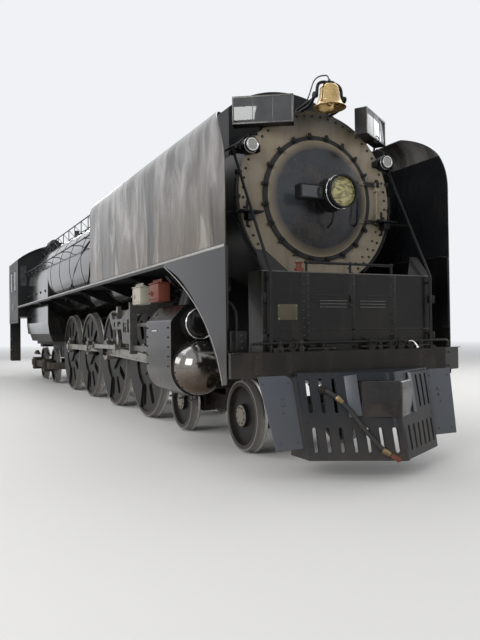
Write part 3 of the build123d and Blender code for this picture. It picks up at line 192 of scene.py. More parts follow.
def bumped(wire, height, strength, distance, normal):
    values = {"Strength": strength, "Distance": distance, "Height": height, "Normal": normal}
    return wire.node("Bump", inputs=values)


# Painted steel: clouded colour, streaks, dust low down and brighter worn edges
paintDefaults = {
    "grainScale": 130.0, "streaks": 0.35, "dust": 0.45, "dustHeights": (0.2, 1.9), "edgeWear": 0.45,
    "bump": 0.12, "wave": 0.0, "waveScale": 1.0, "metallic": 0.0, "shine": 0.2, "coat": 0.0,
    "dustColour": (0.1, 0.076, 0.055), "edgeColour": (0.11, 0.107, 0.103),
}


def paintedSteel(name, colour, worn, streak, rough, **changes):
    look = {**paintDefaults, **changes}
    material, wire, shader, place = startMaterial(name)
    cloud = noise(wire, place, 1.7, 5.0, 0.6)
    grain = noise(wire, place, look["grainScale"], 2.0)
    runs = noise(wire, place, 7.0, 4.0, 0.6, (1.0, 1.0, 0.12))
    rounded = roundedNormal(wire)
    colour = blendColour(wire, cloud.ramp(0.35, 0.75), colour, worn)
    colour = blendColour(wire, runs.ramp(0.55, 0.78) * look["streaks"], colour, streak)
    dusty = noise(wire, place, 3.0, 6.0, 0.65).ramp(0.3, 0.7)
    low = (1 - axisOf(wire, place, "Z").ramp(*look["dustHeights"])) * dusty
    colour = blendColour(wire, low * look["dust"], colour, look["dustColour"])
    worn = wornEdges(wire, rounded) * look["edgeWear"]
    colour = blendColour(wire, worn, colour, look["edgeColour"])
    rough = rough + (cloud - 0.5) * 0.25 + (grain - 0.5) * 0.12 + low * 0.25
    bump = bumped(wire, grain, look["bump"], 0.002, rounded)
    if look["wave"]:
        ripple = noise(wire, place, look["waveScale"], 2.0, 0.4, evenly)
        bump = bumped(wire, ripple, look["wave"], 0.02, bump)
    feed(wire, shader, {
        "Base Color": colour, "Roughness": rough.clip(0.04, 1.0), "Metallic": look["metallic"],
        "Specular IOR Level": look["shine"], "Coat Weight": look["coat"], "Coat Roughness": 0.08,
        "Normal": bump,
    })
    return material


# Bare metal: brushed colour with stains and bright edges, and a painted browner reflection low down on
# request
metalDefaults = {"brush": (1.0, 0.08, 1.0), "stains": 0.6, "metallic": 0.9, "lowColour": None}


def bareSteel(name, colour, bright, stain, rough, **changes):
    look = {**metalDefaults, **changes}
    material, wire, shader, place = startMaterial(name)
    rounded = roundedNormal(wire, 0.004)
    brushed = noise(wire, place, 60.0, 4.0, 0.6, look["brush"])
    stained = noise(wire, place, 4.5, 6.0, 0.65).ramp(0.5, 0.72)
    colour = blendColour(wire, brushed.ramp(0.3, 0.7), colour, bright)
    colour = blendColour(wire, stained * look["stains"], colour, stain)
    colour = blendColour(wire, wornEdges(wire, rounded) * 0.5, colour, bright)
    if look["lowColour"]:
        low = 1 - axisOf(wire, place, "Z").ramp(*look["lowHeights"])
        colour = blendColour(wire, low * 0.8, colour, look["lowColour"])
    rough = rough + (brushed - 0.5) * 0.2 + stained * 0.2
    feed(wire, shader, {
        "Base Color": colour, "Roughness": rough.clip(0.05, 1.0), "Metallic": look["metallic"],
        "Normal": bumped(wire, brushed, 0.12, 0.001, rounded),
    })
    return material


# Each paint: colour, worn patches, streaks, roughness, then what differs from the usual
paintTable = {
    "satinBlack": ((0.005, 0.0055, 0.0062), (0.011, 0.0112, 0.012), (0.024, 0.022, 0.02), 0.4, {}),
    "glossBlack": ((0.003, 0.003, 0.0035), (0.007, 0.0068, 0.0066), (0.024, 0.021, 0.017), 0.22, {
        "coat": 0.35, "wave": 0.12, "waveScale": 1.3, "streaks": 0.5, "dust": 0.4,
    }),
    "shieldBlack": ((0.0045, 0.0045, 0.0045), (0.011, 0.01, 0.008), (0.034, 0.028, 0.019), 0.3, {
        "coat": 0.1, "wave": 0.18, "waveScale": 2.2, "streaks": 0.6,
    }),
    "graphite": ((0.013, 0.013, 0.0135), (0.027, 0.0265, 0.0255), (0.045, 0.043, 0.04), 0.42, {}),
    "jacketBlack": ((0.012, 0.0115, 0.011), (0.024, 0.022, 0.02), (0.085, 0.078, 0.067), 0.16, {
        "metallic": 0.6, "coat": 0.45, "wave": 0.14, "waveScale": 2.0, "dust": 0.0, "shine": 0.4,
    }),
    "stepBlue": ((0.055, 0.065, 0.08), (0.078, 0.088, 0.105), (0.03, 0.033, 0.036), 0.36, {
        "wave": 0.1, "waveScale": 2.5, "dust": 0.3, "shine": 0.4,
    }),
    "pilotGrey": ((0.0125, 0.015, 0.0185), (0.021, 0.0235, 0.027), (0.04, 0.036, 0.031), 0.45, {
        "dust": 0.55, "dustHeights": (0.05, 0.9),
    }),
    "truckBlack": ((0.007, 0.0067, 0.0064), (0.018, 0.016, 0.0135), (0.038, 0.031, 0.025), 0.55, {
        "dust": 0.7,
    }),
    "rubberBlack": ((0.018, 0.02, 0.0225), (0.032, 0.035, 0.038), (0.05, 0.047, 0.042), 0.5, {
        "dust": 0.5, "edgeWear": 0.1, "bump": 0.3, "grainScale": 260.0,
    }),
    "cabGreen": ((0.11, 0.15, 0.1), (0.13, 0.165, 0.115), (0.06, 0.07, 0.05), 0.45, {"dust": 0.0}),
    "creamPaint": ((0.4, 0.375, 0.31), (0.3, 0.28, 0.23), (0.15, 0.125, 0.09), 0.5, {"dust": 0.4}),
    "oxidePaint": ((0.13, 0.034, 0.022), (0.17, 0.06, 0.035), (0.06, 0.03, 0.02), 0.45, {"dust": 0.2}),
    "edgeLine": ((0.27, 0.265, 0.255), (0.36, 0.355, 0.345), (0.13, 0.118, 0.1), 0.35, {
        "dust": 0.2, "edgeWear": 0.1,
    }),
    "plateTan": ((0.085, 0.072, 0.048), (0.12, 0.104, 0.072), (0.04, 0.033, 0.022), 0.4, {"dust": 0.1}),
}
# Each metal: colour, bright brushing, stains, roughness, then what differs from the usual
metalTable = {
    "rodSteel": ((0.2, 0.188, 0.162), (0.36, 0.345, 0.31), (0.05, 0.041, 0.03), 0.35, {}),
    "frameSteel": ((0.075, 0.073, 0.068), (0.15, 0.147, 0.138), (0.022, 0.019, 0.016), 0.42, {
        "metallic": 0.6,
    }),
    "chrome": ((0.55, 0.54, 0.52), (0.78, 0.77, 0.75), (0.22, 0.19, 0.15), 0.1, {"stains": 0.35}),
    # The covers' lower part gets a painted brown reflection of the ground
    "coverChrome": ((0.19, 0.185, 0.175), (0.28, 0.275, 0.26), (0.06, 0.048, 0.036), 0.14, {
        "metallic": 0.95, "lowColour": (0.1, 0.064, 0.037), "lowHeights": (0.85, 1.3),
    }),
    "dullBrass": ((0.2, 0.14, 0.07), (0.3, 0.22, 0.12), (0.06, 0.042, 0.025), 0.38, {}),
    "bellBrass": ((0.42, 0.285, 0.12), (0.62, 0.45, 0.21), (0.14, 0.078, 0.03), 0.22, {
        "brush": (0.3, 0.3, 2.0),
    }),
}
finish = {name: paintedSteel(name, *row[:4], **row[4]) for name, row in paintTable.items()}
finish.update({name: bareSteel(name, *row[:4], **row[4]) for name, row in metalTable.items()})


# Smokebox door: dark domed middle, partly graphite and partly painted shade of the dome with a painted
# blue-grey sheen, that fades into tan, with black clamps and a painted shadow line in the gap to the ring
def doorPaint(look):
    material, wire, shader, place = startMaterial("doorPaint")
    reach = reachFrom(wire, place, (0, 0, boilerHeight), (1.0, 0.0, 1.0))
    mottle = noise(wire, place, 5.0, 6.0, 0.65)
    fade = (reach + (mottle - 0.5) * 0.05).ramp(*look["fade"])
    rounded = roundedNormal(wire)
    # Painted sheen: a blue-grey reflection over the dark centre, which is partly painted shade of the dome
    paintedSheen = noise(wire, place, 1.6, 2.0, 0.4, (1.0, 1.0, 0.5))
    centre = blendColour(wire, paintedSheen.ramp(0.4, 0.66), look["centre"], look["middle"])
    colour = blendColour(wire, fade, centre, look["tan"])
    colour = blendColour(wire, mottle.ramp(0.5, 0.75) * 0.35, colour, look["grime"])
    # Painted shadow: a dark line in the gap between door and ring, in the clamp black
    soot = (1 - reach.ramp(0.795, 0.815)) * reach.ramp(0.775, 0.79) * 0.9
    proud = 1 - axisOf(wire, place, "Y").ramp(look["clampFace"] - 0.002, look["clampFace"])
    clamps = reach.ramp(0.738, 0.742) * proud * (1 - axisOf(wire, place, "X").ramp(0.86, 0.861))
    colour = blendColour(wire, wire.maths("MAXIMUM", soot, clamps), colour, look["clamp"])
    rough = 0.27 + fade * 0.25 + (mottle - 0.5) * 0.2
    feed(wire, shader, {
        "Base Color": colour, "Roughness": rough.clip(0.1, 1.0), "Specular IOR Level": 0.4,
        "Normal": bumped(wire, noise(wire, place, 130.0, 2.0), 0.1, 0.002, rounded),
    })
    return material


# The centre colour is partly painted shade of the dome, the middle colour is a painted blue-grey
# reflection, and the clamp black also paints the gap's shadow
finish["doorPaint"] = doorPaint({
    "fade": (0.62, 0.745), "centre": (0.013, 0.0135, 0.015), "middle": (0.04, 0.044, 0.053),
    "clampFace": ringFace - 0.026, "clamp": (0.006, 0.006, 0.006), "tan": (0.26, 0.215, 0.145),
    "grime": (0.12, 0.095, 0.066),
})


# Smokebox ring: faded tan with streaks, sooty towards the top
def ringPaint(look):
    material, wire, shader, place = startMaterial("ringPaint")
    mottle = noise(wire, place, 4.0, 6.0, 0.65)
    streaks = noise(wire, place, 9.0, 4.0, 0.6, (1.0, 1.0, 0.15))
    rounded = roundedNormal(wire)
    colour = blendColour(wire, mottle.ramp(0.35, 0.7), look["tan"], look["faded"])
    colour = blendColour(wire, streaks.ramp(0.52, 0.75) * 0.5, colour, look["grime"])
    sooty = axisOf(wire, place, "Z") + (mottle - 0.5) * 0.3
    colour = blendColour(wire, sooty.ramp(*look["sootHeights"]) * 0.9, colour, look["soot"])
    feed(wire, shader, {
        "Base Color": colour, "Roughness": (0.42 + (mottle - 0.5) * 0.3).clip(),
        "Normal": bumped(wire, mottle, 0.1, 0.002, rounded),
    })
    return material


finish["ringPaint"] = ringPaint({
    "tan": (0.25, 0.205, 0.14), "faded": (0.31, 0.265, 0.195), "grime": (0.1, 0.078, 0.055),
    "soot": (0.02, 0.018, 0.016), "sootHeights": (3.95, 4.3),
})


# Deflector sheet: black paint on a rolled sheet, whose outer face carries a painted reflection of sky above
# and ballast below in long upright waves
def deflectorSheet(look):
    material, wire, shader, place = startMaterial("deflectorSheet")
    height = axisOf(wire, place, "Z")
    waves = noise(wire, place, 1.0, 2.5, 0.5, look["waveStretch"], look["twist"])
    folds = noise(wire, place, look["foldScale"], 3.0, 0.55, look["foldStretch"], look["twist"])
    runs = noise(wire, place, 16.0, 4.0, 0.6, (1.0, 1.0, 0.08))
    # Painted reflection: dark and bronze ballast colours low down, sky colours higher up, with painted
    # glints along the folds
    upper = (height + (waves - 0.5) * 1.6).ramp(*look["skyHeights"])
    paintedGround = blendColour(wire, waves.ramp(0.36, 0.6), look["dark"], look["bronze"])
    sky = blendColour(wire, folds.ramp(0.36, 0.6), look["shade"], look["sky"])
    colour = blendColour(wire, upper, paintedGround, sky)
    colour = blendColour(wire, folds.ramp(0.56, 0.66) * 0.6, colour, look["glint"])
    colour = blendColour(wire, runs.ramp(0.55, 0.8) * 0.45, colour, look["run"])
    rounded = roundedNormal(wire)
    # The outer face and the rolled top take the painted reflection; the inside keeps the black paint
    inside = 1 - sizeOf(wire, place, "X").ramp(look["inside"] - 0.001, look["inside"])
    bare = 1 - inside * (1 - height.ramp(*look["rollHeights"]))
    colour = blendColour(wire, bare, look["paint"], colour)
    rough = 0.26 + (waves - 0.5) * 0.14 + (runs - 0.5) * 0.08
    feed(wire, shader, {
        "Base Color": colour, "Roughness": rough.clip(0.08, 1.0), "Metallic": bare * 0.6,
        "Coat Weight": bare * 0.25, "Specular IOR Level": 0.3,
        "Normal": bumped(wire, folds + waves * 1.5, look["ripple"], 0.05, rounded),
    })
    return material


finish["deflectorSheet"] = deflectorSheet({
    "dark": (0.022, 0.017, 0.012), "bronze": (0.125, 0.094, 0.062), "shade": (0.095, 0.088, 0.082),
    "sky": (0.31, 0.3, 0.29), "glint": (0.36, 0.335, 0.3), "run": (0.05, 0.037, 0.026),
    "paint": (0.0065, 0.007, 0.008), "waveStretch": (0.2, 1.25, 0.34), "foldScale": 2.1,
    "foldStretch": (0.2, 1.1, 0.42), "twist": 0.9, "ripple": 0.3, "skyHeights": (2.75, 3.9),
    "inside": sideFace - 0.006, "rollHeights": (3.862, 3.87),
})


# Wheels: dark centre, tyre face a little lighter, a thin pale line at its edge and a bright tread
def wheelPaint(name, centre, look):
    material, wire, shader, place = startMaterial(name)
    reach = reachFrom(wire, place, centre, (0.0, 1.0, 1.0))
    across = sizeOf(wire, place, "X")
    dirt = noise(wire, place, 6.0, 6.0, 0.65)
    rounded = roundedNormal(wire)
    black = blendColour(wire, dirt.ramp(0.4, 0.7), look["black"], look["oil"])
    black = blendColour(wire, wornEdges(wire, rounded) * 0.35, black, look["edge"])
    steel = blendColour(wire, dirt.ramp(0.35, 0.65), look["steel"], look["rust"])
    tyre = reach.ramp(look["tyreStart"] - 0.002, look["tyreStart"] + 0.002)
    line = reach.ramp(look["treadStart"] - 0.026, look["treadStart"] - 0.022)
    tread = reach.ramp(look["treadStart"] - 0.004, look["treadStart"] - 0.001)
    outside = across.ramp(0.6, 0.602)
    colour = blendColour(wire, tyre * outside * 0.9, black, steel)
    colour = blendColour(wire, line * outside * 0.75, colour, look["line"])
    colour = blendColour(wire, tread * outside, colour, look["tread"])
    if "hub" in look:
        near = 1 - reach.ramp(look["hubReach"] - 0.002, look["hubReach"])
        face = across.ramp(look["hubFace"] - 0.012, look["hubFace"] - 0.01)
        colour = blendColour(wire, near * face, colour, look["hub"])
    rough = 0.5 - tread * 0.22 + (dirt - 0.5) * 0.2
    feed(wire, shader, {
        "Base Color": colour, "Roughness": rough.clip(0.1, 1.0), "Specular IOR Level": 0.25,
        "Metallic": (tread * outside * 0.75).clip(), "Normal": bumped(wire, dirt, 0.2, 0.003, rounded),
    })
    return material


wheelLook = {
    "black": (0.0065, 0.0063, 0.006), "oil": (0.016, 0.0135, 0.011), "edge": (0.05, 0.047, 0.043),
    "steel": (0.026, 0.024, 0.021), "rust": (0.045, 0.034, 0.025), "line": (0.2, 0.19, 0.175),
    "tread": (0.3, 0.29, 0.27), "tyre": 0.076, "flange": 0.028,
}


# Glass: thin film of dirt, and moulded ribs in the lenses
def clearGlass(name, look):
    material, wire, shader, place = startMaterial(name)
    film = noise(wire, place, 6.0, 4.0)
    colour = blendColour(wire, film.ramp(0.4, 0.8), look["colour"], look["film"])
    if "second" in look:
        patches = noise(wire, place, 9.0, 2.0, 0.5, (1.0, 1.0, 2.2), 1.5).ramp(0.45, 0.56)
        colour = blendColour(wire, patches, colour, look["second"])
    ribs = noise(wire, place, look.get("ribScale", 20.0), 1.0, 0.4, look.get("ribStretch", evenly))
    bare = wire.node("NewGeometry", output="Normal")
    feed(wire, shader, {
        "Base Color": colour, "Roughness": 0.04 + film.ramp(0.5, 0.9) * 0.1, "Alpha": look["alpha"],
        "Coat Weight": 0.5, "Normal": bumped(wire, ribs, look.get("ribs", 0.05), 0.01, bare),
    })
    return material


glassLooks = {
    "paneGlass": {"colour": (0.03, 0.036, 0.036), "film": (0.09, 0.1, 0.092), "alpha": 0.5},
    "lensGlass": {
        "colour": (0.55, 0.5, 0.2), "film": (0.66, 0.6, 0.3), "second": (0.2, 0.19, 0.075), "alpha": 0.75,
        "ribs": 0.5, "ribScale": 26.0, "ribStretch": (0.3, 1.0, 1.6),
    },
    "boardPane": {"colour": (0.03, 0.031, 0.033), "film": (0.055, 0.056, 0.058), "alpha": 1.0},
    "clearLens": {
        "colour": (0.5, 0.5, 0.47), "film": (0.62, 0.61, 0.58), "alpha": 0.6, "ribs": 0.4, "ribScale": 40.0,
    },
}
finish.update({name: clearGlass(name, look) for name, look in glassLooks.items()})


# Seat covering: dark leathercloth with a fine pebbled grain
def leathercloth(look):
    material, wire, shader, place = startMaterial("leathercloth")
    pebble = wire.node("TexVoronoi", inputs={"Vector": place, "Scale": look["pebbleScale"]})
    wear = noise(wire, place, 7.0, 4.0)
    bare = wire.node("NewGeometry", output="Normal")
    feed(wire, shader, {
        "Base Color": blendColour(wire, wear.ramp(0.45, 0.75), look["colour"], look["worn"]),
        "Roughness": 0.45 + wear * 0.2, "Normal": bumped(wire, pebble, 0.35, 0.002, bare),
    })
    return material


finish["leathercloth"] = leathercloth({
    "pebbleScale": 240.0, "colour": (0.03, 0.024, 0.02), "worn": (0.06, 0.048, 0.038),
})
print("finishes made:", len(finish))


# Shape helpers
def aim(place, direction, scale=1.0, turn=0.0):
    facing = Vector(direction).to_track_quat("Z", "Y").to_matrix().to_4x4()
    return Matrix.Translation(place) @ facing @ Matrix.Rotation(turn, 4, "Z") @ Matrix.Scale(scale, 4)


# A point round the boiler's line, seen from the front
def polar(radius, turn, y=0.0):
    return Vector((radius * math.cos(turn), y, radius * math.sin(turn)))


def soften(part, edges, offset, segments):
    bmesh.ops.bevel(
        part, geom=edges, offset=offset, segments=segments, profile=0.5, affect="EDGES", material=-1,
    )


def move(part, matrix):
    bmesh.ops.transform(part, matrix=matrix, verts=part.verts)


def cone(part, segments, low, high, depth, rise):
    bmesh.ops.create_cone(
        part, cap_ends=True, segments=segments, radius1=low, radius2=high, depth=depth,
        matrix=Matrix.Translation((0, 0, rise)),
    )


def sphere(part, radius, segments, rings, matrix):
    bmesh.ops.create_uvsphere(part, u_segments=segments, v_segments=rings, radius=radius, matrix=matrix)


def rivetStamp(part):
    sphere(part, 1.0, 8, 4, Matrix.Scale(0.6, 4, (0, 0, 1)))


def boltStamp(part):
    cone(part, 10, 1.25, 1.2, 0.3, 0.12)
    cone(part, 6, 0.95, 0.88, 0.8, 0.65)
    sphere(part, 0.5, 6, 4, Matrix.Translation((0, 0, 1.05)))


def stampOf(build):
    part = bmesh.new()
    build(part)
    mesh = bpy.data.meshes.new("stamp")
    part.to_mesh(mesh)
    part.free()
    return mesh


rivet = stampOf(rivetStamp)
bolt = stampOf(boltStamp)


def softPath(stops, bend):
    path = [stops[0]]
    for before, here, after in zip(stops, stops[1:], stops[2:]):
        back = before - here
        ahead = after - here
        start = here + back.normalized() * min(bend, back.length * 0.45)
        end = here + ahead.normalized() * min(bend, ahead.length * 0.45)
        for step in range(5):
            t = step / 4
            path.append(start * (1 - t) ** 2 + here * 2 * t * (1 - t) + end * t**2)
    return path + [stops[-1]]


def arcPath(centre, axis, radius, first, last, steps=24):
    placed = aim(centre, axis)
    turns = [math.radians(first + (last - first) * i / steps) for i in range(steps + 1)]
    return [placed @ Vector((radius * math.cos(a), radius * math.sin(a), 0)) for a in turns]


# Four bars round a rectangle, as pairs of low and high corners
def borderBars(low, high, bar, topBar=None):
    left, bottom = low
    right, top = high
    roof = top - (topBar or bar)
    floor = bottom + bar
    return (
        ((left, bottom), (right, floor)), ((left, roof), (right, top)),
        ((left, floor), (left + bar, roof)), ((right - bar, floor), (right, roof)),
    )


# A lathe profile closed flat below and above, with the given radii and heights between
def capped(*rings):
    return [(0, rings[0][1]), *rings, (0, rings[-1][1])]


# A piece in the making: every point is measured from its origin
class Sketch:
    def __init__(self, origin=(0, 0, 0)):
        self.shape = bmesh.new()
        self.origin = Vector(origin)

    def spot(self, point):
        return self.origin + Vector(point)

    def press(self, stamp, matrix):
        matrix = Matrix.Translation(self.origin) @ matrix
        stamp.transform(matrix)
        self.shape.from_mesh(stamp)
        stamp.transform(matrix.inverted())

    def row(self, stamp, start, end, count, facing, size):
        for i in range(count):
            place = Vector(start).lerp(Vector(end), i / max(count - 1, 1))
            self.press(stamp, aim(place, facing, size))

    def ring(self, stamp, centre, axis, radius, count, size):
        placed = aim(centre, axis)
        for i in range(count):
            a = 2 * math.pi * (i + 0.5) / count
            around = placed @ Vector((radius * math.cos(a), radius * math.sin(a), 0))
            self.press(stamp, aim(around, axis, size))

    def add(self, part):
        mesh = bpy.data.meshes.new("part")
        part.to_mesh(mesh)
        part.free()
        self.shape.from_mesh(mesh)
        bpy.data.meshes.remove(mesh)

    def tube(self, path, radius, closed=False, sides=2):
        curve = bpy.data.curves.new("tube", "CURVE")
        curve.dimensions = "3D"
        curve.bevel_depth = radius
        curve.bevel_resolution = sides
        curve.use_fill_caps = not closed
        spline = curve.splines.new("POLY")
        spline.points.add(len(path) - 1)
        for point, place in zip(spline.points, path):
            point.co = (*self.spot(place), 1)
        spline.use_cyclic_u = closed
        holder = bpy.data.objects.new("tube", curve)
        mesh = bpy.data.meshes.new_from_object(holder)
        self.shape.from_mesh(mesh)
        bpy.data.objects.remove(holder)
        bpy.data.curves.remove(curve)
        bpy.data.meshes.remove(mesh)

    def pipe(self, stops, radius, bend=0.06, sides=2):
        self.tube(softPath([Vector(stop) for stop in stops], bend), radius, sides=sides)

    def hoop(self, centre, axis, radius, thickness, steps=48):
        self.tube(arcPath(centre, axis, radius, 0, 360, steps)[:-1], thickness, True)

    def slab(self, low, high, bevel=0.004, matrix=None):
        part = bmesh.new()
        low = Vector(low)
        high = Vector(high)
        spread = Matrix.Diagonal((*(high - low), 1))
        bmesh.ops.create_cube(part, size=1.0, matrix=Matrix.Translation((low + high) / 2) @ spread)
        if bevel:
            soften(part, part.edges[:], bevel, 2)
        move(part, Matrix.Translation(self.origin) @ (matrix or Matrix()))
        self.add(part)

    def lathe(self, profile, centre, axis, steps=40):
        part = bmesh.new()
        points = [part.verts.new((radius, 0, rise)) for radius, rise in profile]
        for first, second in zip(points, points[1:]):
            part.edges.new((first, second))
        bmesh.ops.spin(
            part, geom=part.verts[:] + part.edges[:], cent=(0, 0, 0), axis=(0, 0, 1), dvec=(0, 0, 0),
            angle=2 * math.pi, steps=steps, use_merge=True,
        )
        bmesh.ops.remove_doubles(part, verts=part.verts, dist=0.00005)
        bmesh.ops.recalc_face_normals(part, faces=part.faces)
        move(part, aim(self.spot(centre), axis))
        self.add(part)

    def ball(self, centre, radius, segments, rings):
        sphere(self.shape, radius, segments, rings, Matrix.Translation(self.spot(centre)))

    def mirror(self):
        mesh = bpy.data.meshes.new("mirrored")
        self.shape.to_mesh(mesh)
        mesh.transform(Matrix.Scale(-1, 4, (1, 0, 0)))
        mesh.flip_normals()
        self.shape.from_mesh(mesh)
        bpy.data.meshes.remove(mesh)

    def finish(self, name, look, body="root", angle=40, twin=False):
        if twin:
            self.mirror()
        mesh = bpy.data.meshes.new(name)
        bmesh.ops.recalc_face_normals(self.shape, faces=self.shape.faces)
        self.shape.to_mesh(mesh)
        self.shape.free()
        mesh.polygons.foreach_set("use_smooth", [True] * len(mesh.polygons))
        mesh.set_sharp_from_angle(angle=math.radians(angle))
        mesh.materials.append(finish[look])
        piece = bpy.data.objects.new(name, mesh)
        collection.objects.link(piece)
        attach(piece, body)
        return piece


# Finishes on the CAD nodes; the rest is satin black
nodeFinish = {
    "boiler_barrel": "jacketBlack", "firebox_jacket": "jacketBlack", "boiler_domes": "jacketBlack",
    "smokebox_drum": "graphite", "smokebox_front_ring": "ringPaint", "smokebox_door": "doorPaint",
    "smoke_deflectors": "deflectorSheet", "front_skirts": "glossBlack", "cylinders": "glossBlack",
    "cylinder_end_covers": "coverChrome", "crossheads": "rodSteel", "guides_and_yokes": "frameSteel",
    "valve_gear": "rodSteel", "pilot_shield": "shieldBlack", "pilot_beam": "shieldBlack",
    "cab_glass": "paneGlass", "engine_bed": "truckBlack", "lead_truck_frame": "truckBlack",
    "trailing_truck_frame": "truckBlack",
}
hubLook = {"hub": (0.15, 0.135, 0.105), "hubReach": 0.135}
for name, node in nodes.items():
    look = finish[nodeFinish.get(name, "satinBlack")]
    if name.endswith("_wheelset"):
        low, high = span(name)
        treadStart = (high.z - low.z) / 2 - wheelLook["flange"]
        wheel = dict(wheelLook, treadStart=treadStart, tyreStart=treadStart - wheelLook["tyre"])
        if name.startswith("lead"):
            wheel.update(hubLook, hubFace=high.x)
        look = wheelPaint(name + "Paint", (low + high) / 2, wheel)
    elif name.startswith(("side_rod", "main_rod", "eccentric_rod")):
        look = finish["rodSteel"]
    node.data.materials.clear()
    node.data.materials.append(look)
print("nodes dressed")

# Camera at the photograph's place, measured from the first driver
cameraSet = {
    "place": (-4.504, -11.514, 1.587), "yaw": 26.13, "pitch": 0.956, "roll": -0.689, "focalPixels": 642.3,
    "sensor": 36, "pixels": 640,
}
yaw, pitch, roll = (math.radians(cameraSet[key]) for key in ("yaw", "pitch", "roll"))
ahead = Vector((math.sin(yaw) * math.cos(pitch), math.cos(yaw) * math.cos(pitch), math.sin(pitch)))
right = Vector((math.cos(yaw), -math.sin(yaw), 0))
above = right.cross(ahead)
rolledRight = right * math.cos(roll) + above * math.sin(roll)
rolledUp = above * math.cos(roll) - right * math.sin(roll)
camera = bpy.data.objects.new("camera", bpy.data.cameras.new("camera"))
camera.data.sensor_width = cameraSet["sensor"]
camera.data.lens = cameraSet["focalPixels"] / cameraSet["pixels"] * cameraSet["sensor"]
camera.data.clip_end = 500
cameraPlace = Vector(cameraSet["place"]) + Vector((0, firstDriver, 0))
cameraTurn = Matrix((rolledRight, rolledUp, -ahead)).transposed().to_4x4()
camera.matrix_world = Matrix.Translation(cameraPlace) @ cameraTurn
collection.objects.link(camera)
bpy.context.scene.camera = camera


def cutShape(shape, cutter):
    bodies = []
    for name, part in (("cutBody", shape), ("cutTool", cutter)):
        mesh = bpy.data.meshes.new(name)
        bmesh.ops.recalc_face_normals(part, faces=part.faces)
        part.to_mesh(mesh)
        part.free()
        bodies.append(bpy.data.objects.new(name, mesh))
        collection.objects.link(bodies[-1])
    cut = bodies[0].modifiers.new("cut", "BOOLEAN")
    cut.object = bodies[1]
    cut.solver = "EXACT"
    mesh = bpy.data.meshes.new_from_object(bodies[0].evaluated_get(bpy.context.evaluated_depsgraph_get()))
    made = bmesh.new()
    made.from_mesh(mesh)
    for holder in bodies:
        bpy.data.objects.remove(holder)
    return made


def drawnPlate(points, depth):
    part = bmesh.new()
    face = part.faces.new([part.verts.new(point) for point in points])
    grown = bmesh.ops.extrude_face_region(part, geom=[face])
    moved = [item for item in grown["geom"] if isinstance(item, bmesh.types.BMVert)]
    bmesh.ops.translate(part, verts=moved, vec=depth)
    bmesh.ops.recalc_face_normals(part, faces=part.faces)
    return part


# Pilot: a raked plough with a rounded nose, pierced by slots, in place of the plain CAD plough
pilotSet = {
    "foot": 0.21, "top": 1.12, "footHalf": 0.885, "topHalf": 0.9, "noseHalf": 0.07, "footReach": 0.5,
    "topReach": 0.69, "noseRise": 0.215, "nose": 0.05, "wall": 0.028, "slotWide": 0.044, "slots": 7,
    "slotPitch": 0.1235, "slotStart": 0.06, "highFrom": 4, "lowSlot": (0.418, 0.262),
    "highSlot": (0.88, 0.367), "highShift": 0.012, "slotReach": (-12.0, -9.0),
}


def stadium(sketch, x, middle, long):
    half = pilotSet["slotWide"] / 2
    front, back = pilotSet["slotReach"]
    part = bmesh.new()
    spread = Matrix.Diagonal((half * 2, back - front, long, 1))
    place = Matrix.Translation((x, (front + back) / 2, middle))
    bmesh.ops.create_cube(part, size=1.0, matrix=place @ spread)
    along = [edge for edge in part.edges if abs(edge.verts[0].co.y - edge.verts[1].co.y) > 0.1]
    soften(part, along, half * 0.98, 5)
    sketch.add(part)


def ploughLevel(half, outer, nose, inset, z):
    noseHalf = pilotSet["noseHalf"] - inset * 0.4
    shoulder = nose + pilotSet["nose"] + inset
    tip = nose + inset * 1.2
    wing = [(inset - half, beamFront + (0.14 if inset else 0.1)), (inset - half, outer + inset * 0.4)]
    turns = [math.pi * (i / 8) for i in range(9)]
    curve = [(-noseHalf * math.cos(a), shoulder - (shoulder - tip) * math.sin(a)) for a in turns]
    points = wing + curve + [(-x, y) for x, y in reversed(wing)]
    return [Vector((x, y, z)) for x, y in points]


def plough(inset, low, high):
    part = bmesh.new()
    nose = noseTip + pilotSet["noseRise"]
    foot = ploughLevel(pilotSet["footHalf"], noseTip + pilotSet["footReach"], noseTip, inset, low)
    top = ploughLevel(pilotSet["topHalf"], noseTip + pilotSet["topReach"], nose, inset, high)
    faces = [part.faces.new([part.verts.new(point) for point in level]) for level in (foot, top)]
    bmesh.ops.bridge_loops(part, edges=[edge for face in faces for edge in face.edges])
    bmesh.ops.recalc_face_normals(part, faces=part.faces)
    return part


# A point that stands proud of the plough's flank at the given width and height
def flankPoint(x, z, proud):
    rise = (z - pilotSet["foot"]) / (pilotSet["top"] - pilotSet["foot"])
    half = pilotSet["footHalf"] + rise * (pilotSet["topHalf"] - pilotSet["footHalf"])
    outer = noseTip + pilotSet["footReach"] + rise * (pilotSet["topReach"] - pilotSet["footReach"])
    shoulder = noseTip + pilotSet["nose"] + rise * pilotSet["noseRise"]
    share = (half - abs(x)) / (half - pilotSet["noseHalf"])
    return Vector((x, outer + share * (shoulder - outer) - proud, z))


sketch = Sketch()
hollow = plough(pilotSet["wall"], pilotSet["foot"] - 0.01, pilotSet["top"] - pilotSet["wall"])
shell = cutShape(plough(0, pilotSet["foot"], pilotSet["top"]), hollow)
cutter = Sketch()
cutter.slab((-2, beamFront, beamLow.z), (2, beamFront + 0.5, pilotSet["top"] + 0.01), 0)
for side in (-1, 1):
    for i in range(pilotSet["slots"]):
        x = side * (pilotSet["slotStart"] + i * pilotSet["slotPitch"])
        stadium(cutter, x, *pilotSet["lowSlot"])
        if i >= pilotSet["highFrom"]:
            stadium(cutter, x + side * pilotSet["highShift"], *pilotSet["highSlot"])
sketch.shape = cutShape(shell, cutter.shape)
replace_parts(sketch.finish("pilotPlough", "pilotGrey", angle=30), "pilot")

